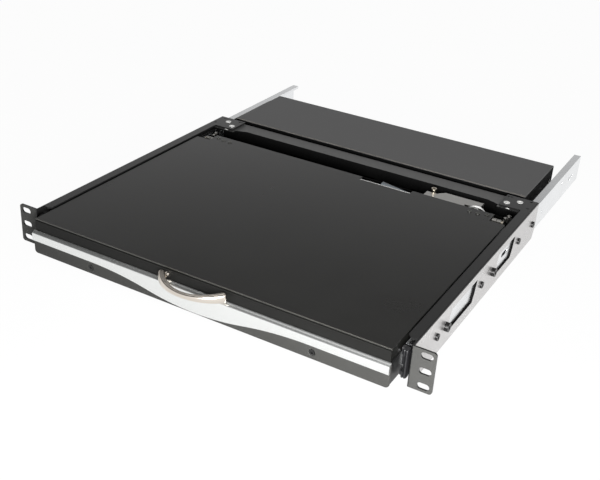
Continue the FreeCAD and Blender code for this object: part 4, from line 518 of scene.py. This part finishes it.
def new_piece(name, shape, slot_name, body, stands_for=(), sharp=35):
    """A piece from points in millimetres: its faces turned outwards, smooth up to an angle, on its body."""
    points, faces = shape
    mesh = bpy.data.meshes.new(name)
    mesh.from_pydata((points * MM).tolist(), [], [face.tolist() for face in faces])
    net = bmesh.new()
    net.from_mesh(mesh)
    bmesh.ops.remove_doubles(net, verts=net.verts, dist=POINT_MERGE)
    bmesh.ops.recalc_face_normals(net, faces=net.faces)
    net.to_mesh(mesh)
    net.free()
    piece = bpy.data.objects.new(name, mesh)
    bpy.context.scene.collection.objects.link(piece)
    mesh.shade_smooth()
    mesh.set_sharp_from_angle(angle=math.radians(sharp))
    paint(piece, slot_name)
    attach(piece, body)
    if stands_for:
        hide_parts(*stands_for)
    return piece


def box_mm(node_name):
    """A CAD node's lowest and highest corners in millimetres."""
    low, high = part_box(node_name)
    return np.array(low) / MM, np.array(high) / MM


def rounded_ring(half_x, half_y, radius, corner=4):
    """A rounded rectangle about the origin: four quarter circles, each with its centre inside its corner."""
    angle = (np.arange(4)[:, None] * math.pi / 2 + np.linspace(0, math.pi / 2, corner)).ravel()
    side = np.repeat([(1, 1), (-1, 1), (-1, -1), (1, -1)], corner, axis=0)
    x = side[:, 0] * (half_x - radius) + radius * np.cos(angle)
    y = side[:, 1] * (half_y - radius) + radius * np.sin(angle)
    return np.stack([x, y], axis=1)


def lifted(ring, height):
    """A flat (x, y) ring at a height, which is one number or one for each of its points."""
    return np.column_stack([ring, np.broadcast_to(height, len(ring))])


def turned(profile, origin, columns=32):
    """A lathe shape about the y axis: each (radius, y) of the profile becomes a ring, whose x and z are the
    radius times the angle's cosine and sine."""
    angle = np.linspace(0, 2 * math.pi, columns, endpoint=False)
    radius, along = np.array(profile, float).T
    return np.stack([origin[0] + radius[:, None] * np.cos(angle),
                     np.broadcast_to(origin[1] + along[:, None], (len(profile), columns)),
                     origin[2] + radius[:, None] * np.sin(angle)], axis=2)


print("helpers: loft, joined, new_piece, box_mm, rounded_ring, lifted, turned")

# %% [markdown]
# ## Bow trim
# The silver trim across the drawer is cast, then blasted and painted satin. From the front its lower edge
# runs straight, dips in a long bow at the middle and comes back. From the side it is an upright face whose
# top rolls back to the lid. So its section is one short line of points, and only the lowest points move
# along the length. The bow is made of the same four arcs as in the CAD model.

# %% Bow trim
TRIM_BOW_HALF, TRIM_BOW_DEPTH, TRIM_BOW_SHARE, TRIM_EDGE = 129.0, 13.1, 0.426, 3.4
TRIM_ROUND, TRIM_ROLL, TRIM_METAL, TRIM_COLUMNS = 0.8, 2.9, 2.0, 180


def bow_edge(x):
    """Height of the trim's lower edge: an arc about a centre above it near the middle, then an arc about a
    centre below it, which meets the straight end; each height is centre -/+ root(radius^2 - distance^2)."""
    total = (TRIM_BOW_HALF**2 + TRIM_BOW_DEPTH**2) / (2 * TRIM_BOW_DEPTH)
    middle, end = total * TRIM_BOW_SHARE, total * (1 - TRIM_BOW_SHARE)
    away = np.minimum(abs(x), TRIM_BOW_HALF)
    dip = middle - TRIM_EDGE - TRIM_BOW_DEPTH - np.sqrt(np.maximum(middle**2 - away**2, 0))
    rise = np.sqrt(end**2 - (TRIM_BOW_HALF - away)**2) - end - TRIM_EDGE
    return np.where(away < TRIM_BOW_HALF * TRIM_BOW_SHARE, dip, rise)


def trim_surface(low, high):
    """Rings along x: a quarter round at the lower front edge, up the face, back over the top in a roll whose
    depth is 0.12 t + 0.88 t^1.7 and whose height is 1.25 t - 0.25 t^2, and down the back."""
    x = np.linspace(low[0], high[0], TRIM_COLUMNS)
    t = np.linspace(0, 1, 9)
    top_depth = (high[1] - low[1]) * (0.12 * t + 0.88 * t**1.7)
    top_height = high[2] - TRIM_ROLL + TRIM_ROLL * (t * 1.25 - 0.25 * t**2)
    quarter = np.linspace(0, math.pi / 2, 5)
    round_depth, round_height = TRIM_ROUND * (1 - np.sin(quarter)), TRIM_ROUND * (1 - np.cos(quarter))
    edge = bow_edge(x)[:, None]
    depth = np.concatenate([round_depth, top_depth, [high[1] - low[1], TRIM_METAL, TRIM_METAL]])
    height = np.concatenate([edge + round_height, np.broadcast_to(top_height, (TRIM_COLUMNS, 9)),
                             np.full((TRIM_COLUMNS, 2), high[2] - TRIM_METAL), edge], axis=1)
    across = np.broadcast_to(x[:, None], height.shape)
    return np.stack([across, np.broadcast_to(low[1] + depth, height.shape), height], axis=2)


trim = new_piece("bow_trim_cast", loft(trim_surface(*box_mm("bow_trim"))), "trim_silver", "drawer",
                 ["bow_trim"])
print("trim faces:", len(trim.data.polygons))

# %% [markdown]
# ## Handle
# The handle is a cast bow in satin nickel: flat and tall where it meets its posts, slimmer in the middle.
# It could be an extruded arc with bevels, but its section changes all the way, so a ring of points is
# carried along the arc instead, and its size is read from a formula at each step.

# %% Handle
HANDLE_HALF, HANDLE_RISE, HANDLE_THICK = 37.8, 22.0, 5.0
HANDLE_END, HANDLE_MIDDLE, HANDLE_CAP, HANDLE_SWELL = 11.0, 5.6, 1.8, 3.2
HANDLE_ROWS, HANDLE_COLUMNS, HANDLE_SQUARENESS = 90, 28, 3.0
HANDLE_SWEEP, TIP_SQUARED, TIP_THICK, TIP_TALL = 0.999, 0.002, 0.5, 0.82


def squircle(count, power):
    """A closed curve between an ellipse and a rectangle: |u|^power + |v|^power = 1."""
    angle = np.linspace(0, 2 * math.pi, count, endpoint=False)
    wave = np.stack([np.cos(angle), np.sin(angle)])
    return np.sign(wave) * abs(wave) ** (2 / power)


def handle_surface(low, high):
    """Rings along the arc: half thickness and half height grow as the square of the way from the middle,
    and both are rounded off over the last stretch by root(1 - (1 - left / cap)^2)."""
    radius = (HANDLE_HALF**2 + HANDLE_RISE**2) / (2 * HANDLE_RISE)
    middle_x, middle_z = (low + high)[[0, 2]] / 2
    centre_y = low[1] + radius
    reach = math.asin(HANDLE_HALF / radius)
    turn = reach * np.sin(np.linspace(-math.pi / 2, math.pi / 2, HANDLE_ROWS) * HANDLE_SWEEP)
    left = (reach - abs(turn)) * radius
    cap = np.sqrt(np.clip(1 - (1 - np.minimum(left / HANDLE_CAP, 1)) ** 2, TIP_SQUARED, 1))
    bar = radius - HANDLE_THICK / 2
    side = np.sin(turn) * bar
    way = (side / HANDLE_HALF) ** 2
    tall = HANDLE_MIDDLE / 2 + (HANDLE_END - HANDLE_MIDDLE) / 2 * way
    u, v = squircle(HANDLE_COLUMNS, HANDLE_SQUARENESS)
    half_thick = (HANDLE_THICK + HANDLE_SWELL * way) / 2 * (TIP_THICK + (1 - TIP_THICK) * cap)
    out = (bar + HANDLE_SWELL / 2 * way)[:, None] + half_thick[:, None] * u[None, :]
    up = (tall * (TIP_TALL + (1 - TIP_TALL) * cap))[:, None] * v[None, :]
    return np.stack([middle_x + np.sin(turn)[:, None] * out, centre_y - np.cos(turn)[:, None] * out,
                     middle_z + up], axis=2)


# %% Handle with its posts
POST_RADIUS, POST_NECK, POST_INSET = 3.2, 0.86, 5.0
POST_PROFILE = [(POST_RADIUS * POST_NECK, -4.0), (POST_RADIUS * POST_NECK, -1.2), (POST_RADIUS, -0.8),
                (POST_RADIUS, 0)]
handle_low, handle_high = box_mm("handle")
bow = loft(handle_surface(handle_low, handle_high))
middle = (handle_low + handle_high) / 2
post_reach = HANDLE_HALF - POST_INSET
posts = [loft(turned(POST_PROFILE, (middle[0] + side * post_reach, handle_high[1], middle[2])))
         for side in (-1, 1)]
handle = new_piece("bow_handle", joined([bow] + posts), "handle_nickel", "lid", ["handle"], sharp=50)
print("handle faces:", len(handle.data.polygons))

# %% [markdown]
# ## Keycaps
# Each key is a moulded cap: slanted sides, a softly rounded rim and a top that is dished from left to
# right, so that a finger finds its middle. A hundred boxes with bevels would look alike and flat. Here one
# formula gives a cap for any footprint: rings of a rounded rectangle that shrink as they rise, and go on
# shrinking inside the rim, where they sink. The caps keep the places and widths of the CAD keys.

# %% Keycap surface
KEY_PITCH, KEY_GAP, KEY_TAPER, KEY_TOP, KEY_DISH, KEY_CORNER = 19.0, 0.8, 1.6, 6.0, 0.55, 1.6
KEY_RISE = np.array([0.0, 0.5, 0.86, 0.95, 0.985, 0.985, 0.985, 0.985])
KEY_SHRINK = np.array([0.0, 0.45, 0.82, 1.0, 1.25, 2.2, 4.0, 6.5]) * KEY_TAPER
KEY_MIDDLE, DISH_FROM = 0.3, 0.9
STEM_HALF, STEM_ROUND, STEM_LAP, WIDE_KEY, WIDE_STEMS = 1.9, 0.3, 0.5, 3 * KEY_PITCH, (0.2, 0.5, 0.8)


def keycap(left, width, front, depth, stem_low):
    """Rings that shrink by the taper as they rise, a rounded rim, and a dish that is deepest along the
    middle line and shallow at the sides: dip = dish * (1 - (x / half width)^2)."""
    half_x, half_y = width / 2 - KEY_GAP / 2, depth / 2 - KEY_GAP / 2
    rings = []
    for share, less in zip(KEY_RISE, np.minimum(KEY_SHRINK, half_y - KEY_MIDDLE)):
        ring = rounded_ring(half_x - less, half_y - less, min(KEY_CORNER, half_y - less))
        dip = KEY_DISH * (share > DISH_FROM) * np.clip(1 - (ring[:, 0] / (half_x - KEY_TAPER)) ** 2, 0, 1)
        rings.append(lifted(ring, KEY_TOP * share - dip))
    cap = np.array(rings) + np.array([left + width / 2, front + depth / 2, 0])
    stem = lifted(rounded_ring(STEM_HALF, STEM_HALF, STEM_ROUND, 2), 0.0)
    levels = np.array([stem_low, STEM_LAP])[:, None, None] * np.array([0, 0, 1])
    stems = [loft(stem[None] + levels + np.array([left + width * share, front + depth / 2, 0]))
             for share in (WIDE_STEMS if width > WIDE_KEY else (0.5,))]
    return joined([loft(cap)] + stems)


def key_line(units, left, front, depth, stem_low):
    """Caps side by side from the left, their widths in key pitches."""
    edges = left + KEY_PITCH * np.concatenate([[0], np.cumsum(units)])
    return [keycap(at, unit * KEY_PITCH, front, depth, stem_low) for at, unit in zip(edges, units)]


# %% Keyboard
BLOCK_LEFT, BLOCK_FRONT, PAD_LEFT, FUNCTION_FRONT, FUNCTION_DEPTH = -184.0, 112.0, 108.0, 209.4, 13.0
MAIN_ROWS = [
    [1.25, 1.25, 1.25, 6.25, 1.25, 1.25, 1.25, 1.25],
    [2.25] + [1.0] * 10 + [2.75],
    [1.75] + [1.0] * 11 + [2.25],
    [1.5] + [1.0] * 12 + [1.5],
    [1.0] * 13 + [2.0],
]
SPACE_AT, ENTER_ROW = 3, 2
PAD_FIRST_ROW, PAD_ROW, FUNCTION_ROW = [2.0, 1.0, 1.0], [1.0] * 4, [1.0] * 15
stem_low = box_mm("letter_keys")[0][2]
letters = []
for row, units in enumerate(MAIN_ROWS):
    caps = key_line(units, BLOCK_LEFT, BLOCK_FRONT + row * KEY_PITCH, KEY_PITCH, stem_low)
    if row == 0:
        space = caps.pop(SPACE_AT)
    if row == ENTER_ROW:
        enter = caps.pop()
    letters += caps
numbers = []
for row in range(len(MAIN_ROWS)):
    units = PAD_ROW if row else PAD_FIRST_ROW
    numbers += key_line(units, PAD_LEFT, BLOCK_FRONT + row * KEY_PITCH, KEY_PITCH, stem_low)
functions = key_line(FUNCTION_ROW, BLOCK_LEFT, FUNCTION_FRONT, FUNCTION_DEPTH, stem_low)
functions += key_line(PAD_ROW, PAD_LEFT, FUNCTION_FRONT, FUNCTION_DEPTH, stem_low)
for node_name, caps in (("letter_keys", letters), ("number_keys", numbers), ("function_keys", functions),
                        ("space_bar", [space]), ("enter_key", [enter])):
    shape = joined(caps)
    new_piece(f"{node_name}_caps", shape, "key_black", nodes[node_name]["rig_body"], [node_name])
    low, high = box_mm(node_name)
    off = max(abs(shape[0].min(0) - low).max(), abs(shape[0].max(0) - high).max())
    print(node_name, "caps:", len(caps), "off the CAD box by", round(off, 2), "mm")

# %% [markdown]
# ## Flat cable
# The display's cable leaves the lid through a notch at its rear: thin wires side by side in one grey
# ribbon, which arches over and turns down. The wires show as fine ridges. A bump could fake them, but the
# ribbon's edge is seen too, so they are modelled: the thickness follows a row of waves across the ribbon
# while its middle line goes over the arch, which is higher at one edge than at the other. A bare metal hem
# closes the notch's front edge, and a thin bright bar along the box's front bend is a painted highlight.

# %% Flat cable
RIBBON_WIRES, RIBBON_THICK, RIBBON_LEFT, RIBBON_FOOT = 22, 0.9, 49.0, 1
RIBBON_CREST, RIBBON_REACH, RIBBON_START = (22.1, 20.4), (4.6, 1.2), 0.05
WIRE_COLUMNS, WIRE_VALLEY, RIBBON_ROWS = 4, 0.62, 18


def ribbon_surface(low, high):
    """Rings along the cable: a flattened half turn from the wall over the crest and down, depth = -cos and
    height = the fourth root of sin of the angle; across it, each side is raised by |sin| once per wire."""
    angle = np.linspace(RIBBON_START, 1, RIBBON_ROWS) * math.pi
    across = np.linspace(0, 1, RIBBON_WIRES * WIRE_COLUMNS + 1)
    wave = abs(np.sin(across * RIBBON_WIRES * math.pi))
    raised = RIBBON_THICK / 2 * (WIRE_VALLEY + (1 - WIRE_VALLEY) * wave)
    share = np.concatenate([across, across[::-1]])
    off = np.concatenate([raised, -raised[::-1]])
    crest = RIBBON_CREST[0] + (RIBBON_CREST[1] - RIBBON_CREST[0]) * share - RIBBON_THICK / 2
    half_depth = RIBBON_REACH[0] + (RIBBON_REACH[1] - RIBBON_REACH[0]) * share
    middle_y = low[1] + half_depth + RIBBON_THICK
    wave_y, wave_z = -np.cos(angle)[:, None], abs(np.sin(angle)[:, None]) ** 0.25
    depth = middle_y + wave_y * (half_depth + off)
    foot = low[2] + RIBBON_FOOT
    height = foot + wave_z * (crest - foot + off)
    x = RIBBON_LEFT + share * (high[0] - RIBBON_LEFT)
    return np.stack([np.broadcast_to(x, depth.shape), depth, height], axis=2)


ribbon_low, ribbon_high = box_mm("flat_cable")
ribbon = new_piece("flat_cable_ribbon", loft(ribbon_surface(ribbon_low, ribbon_high)), "cable_grey", "lid",
                   ["flat_cable"], sharp=60)
print("ribbon faces:", len(ribbon.data.polygons))

# %% Hem, and the painted highlight on the box's front bend
HEM_SIZE, HEM_ROUND, HEM_REACH = 1.1, 0.4, 3.6
BOX_EDGE, BOX_EDGE_ROUND, BOX_EDGE_INSET = 0.2, 0.9, 1


def bar_along_x(left, right, ring):
    """A closed (y, z) outline carried straight along x."""
    ends = np.array([left, right])[:, None, None]
    return np.concatenate([np.broadcast_to(ends, (2, len(ring), 1)),
                           np.broadcast_to(ring, (2, len(ring), 2))], axis=2)


lid_top = box_mm("lid_cover")[1][2]
outline = rounded_ring(HEM_SIZE / 2, HEM_SIZE, HEM_ROUND, 3)
outline += np.array([ribbon_low[1] + HEM_SIZE / 2, lid_top - HEM_SIZE])
hem = bar_along_x(ribbon_low[0] - HEM_REACH, ribbon_high[0] + HEM_REACH, outline)
new_piece("notch_hem", loft(hem), "bright_screw", "lid")
# The bar along the box's front bend is a painted highlight: a thin bright metallic line where the bend
# catches the light.
box_low, box_high = box_mm("box_cover")
outline = rounded_ring(BOX_EDGE, BOX_EDGE, BOX_EDGE * BOX_EDGE_ROUND, 3)
outline += np.array([box_low[1] + BOX_EDGE / 2, box_high[2] - BOX_EDGE])
bend = bar_along_x(box_low[0] + BOX_EDGE_INSET, box_high[0] - BOX_EDGE_INSET, outline)
new_piece("box_front_edge", loft(bend), "pin_brass", "chassis")
print("hem and bend:", np.round([np.ptp(hem[..., 0]), np.ptp(bend[..., 0])], 1), "mm long")

# %% [markdown]
# ## Slide bumpers
# Each slide's middle member ends at the front in a moulded rubber bumper with two upright ridges. It is a
# plan outline carried upwards, and drawn back at its top and bottom so that the ends are round. In the
# middle of its height it is open towards the drawer, because the inner rail slides through there.

# %% Slide bumpers
BUMPER_LEDGE, BUMPER_ROUND, BUMPER_RIDGE, BUMPER_STEP, BUMPER_BACK = 2.2, 2.4, 1.3, 3.4, 0.3
BUMPER_END_ROWS, BUMPER_COLUMNS = 7, 33
CHANNEL_HALF, CHANNEL_WALL = 8.1, 2.6


def bumper_surface(low, high, mirrored):
    """Rings from bottom to top: the front follows |sin| twice over the outer part, the ledge is straight,
    and near each end the front moves back by round - root(round^2 - way^2). Beside the channel that the
    inner rail slides through, a ring starts at the share where the outer wall starts."""
    width = high[0] - low[0]
    way = np.linspace(0, 1, BUMPER_END_ROWS) * BUMPER_ROUND
    back_off = BUMPER_ROUND - np.sqrt(BUMPER_ROUND**2 - (BUMPER_ROUND - way) ** 2)
    middle = (low[2] + high[2]) / 2
    channel = middle + CHANNEL_HALF * np.array([-1, -1, 1, 1])
    levels = np.concatenate([low[2] + way, channel, (high[2] - way)[::-1]])
    off = np.concatenate([back_off, np.zeros(4), back_off[::-1]])[:, None]
    beside = np.repeat([0, 1, 0], [BUMPER_END_ROWS + 1, 2, BUMPER_END_ROWS + 1])[:, None]
    share = np.maximum(np.linspace(0, 1, BUMPER_COLUMNS), beside * (1 - CHANNEL_WALL / width))
    ridge_share = np.clip((share * width - BUMPER_LEDGE) / (width - BUMPER_LEDGE), 0, 1)
    ridge = BUMPER_RIDGE * (1 - abs(np.sin(2 * math.pi * ridge_share)))
    front = low[1] + np.where(ridge_share > 0, ridge, BUMPER_STEP) + off
    back = np.broadcast_to(high[1] - off * BUMPER_BACK, front.shape)
    x = (high[0] - share * width) if mirrored else (low[0] + share * width)
    ring_y = np.concatenate([front, back], axis=1)
    return np.stack([np.concatenate([x, x[:, ::-1]], axis=1), ring_y,
                     np.broadcast_to(levels[:, None], ring_y.shape)], axis=2)


for side in ("left", "right"):
    node_name = f"middle_bumper_{side}"
    shape = loft(bumper_surface(*box_mm(node_name), side == "left"))
    new_piece(f"{node_name}_ridged", shape, "bumper_black", nodes[node_name]["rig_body"], [node_name])
    print(node_name, "points:", len(shape[0]))

# %% [markdown]
# ## Hinge stops
# Behind each hinge stand two small steel posts, whose bright heads show in the lid's rear corners. They are
# turned parts, so each is a lathe profile: foot, shank, collar and a domed head.

# %% Hinge stops
STOP_PLACES = [(198.0, 294.5), (199.5, 301.5)]
STOP_FLOOR, STOP_COLUMNS = -16.8, 24
STOP_PROFILE = [(3.2, 0.0), (3.2, 1.5), (1.7, 1.9), (1.7, 27.5), (2.8, 27.9), (2.8, 30.2), (1.9, 30.6),
                (1.9, 31.6), (2.5, 32.0), (2.4, 33.2), (1.4, 33.9), (0.3, 34.2)]


def upright(profile, x, y):
    """The lathe shape with its y and z exchanged, so that it stands on the tray's floor."""
    return turned(profile, (x, STOP_FLOOR, y), STOP_COLUMNS)[..., [0, 2, 1]]


for side, name in ((-1, "left"), (1, "right")):
    stops = [loft(upright(STOP_PROFILE, side * x, y)) for x, y in STOP_PLACES]
    new_piece(f"hinge_stops_{name}", joined(stops), "hinge_steel", "drawer")
print("stops stand", round(STOP_PROFILE[-1][1], 1), "mm high")

# %% [markdown]
# ## Screen and indicator windows
# With the lid open, the display shows a dark glass, and the keyboard's deck has three small indicator
# windows over the number keys. Both are thin plates with rounded corners, laid a little proud of the CAD
# surface, and they face down and up. Their corners are four quarter circles, as on the keys.

# %% Screen glass and indicator windows
GLASS_LOW, GLASS_HIGH = np.array([-151.0, 18.5]), np.array([151.0, 246.5])
GLASS_MARGIN, GLASS_THICK, GLASS_PROUD, PLATE_CORNER = 1.6, 0.25, 0.02, 1.0
WINDOW_HALF, WINDOW_FIRST, WINDOW_COUNT, WINDOW_THICK, WINDOW_SUNK = (3.0, 1.1), (127.0, 231.0), 3, 0.3, 0.05


def plate(half_x, half_y, centre, thick):
    """A rounded plate: four rings, the outer two drawn in by a quarter of the thickness."""
    drawn = np.array([0.25, 0.0, 0.0, 0.25]) * thick
    height = np.array([0.0, 0.25, 0.75, 1.0]) * thick
    rings = [lifted(rounded_ring(half_x - d, half_y - d, PLATE_CORNER), h) for d, h in zip(drawn, height)]
    return loft(np.array(rings) + np.array(centre))


half = (GLASS_HIGH - GLASS_LOW) / 2 - GLASS_MARGIN
centre = (*((GLASS_LOW + GLASS_HIGH) / 2), box_mm("lcd_panel")[0][2] - GLASS_PROUD)
new_piece("screen_glass", plate(*half, centre, GLASS_THICK), "screen_black", "lid")
window_x, window_y = WINDOW_FIRST
window_z = box_mm("keyboard_housing")[1][2] - WINDOW_SUNK
windows = [plate(*WINDOW_HALF, (window_x + KEY_PITCH * i, window_y, window_z), WINDOW_THICK)
           for i in range(WINDOW_COUNT)]
new_piece("indicator_windows", joined(windows), "touch_grey", "drawer")
print("glass:", np.round(2 * half), "mm")
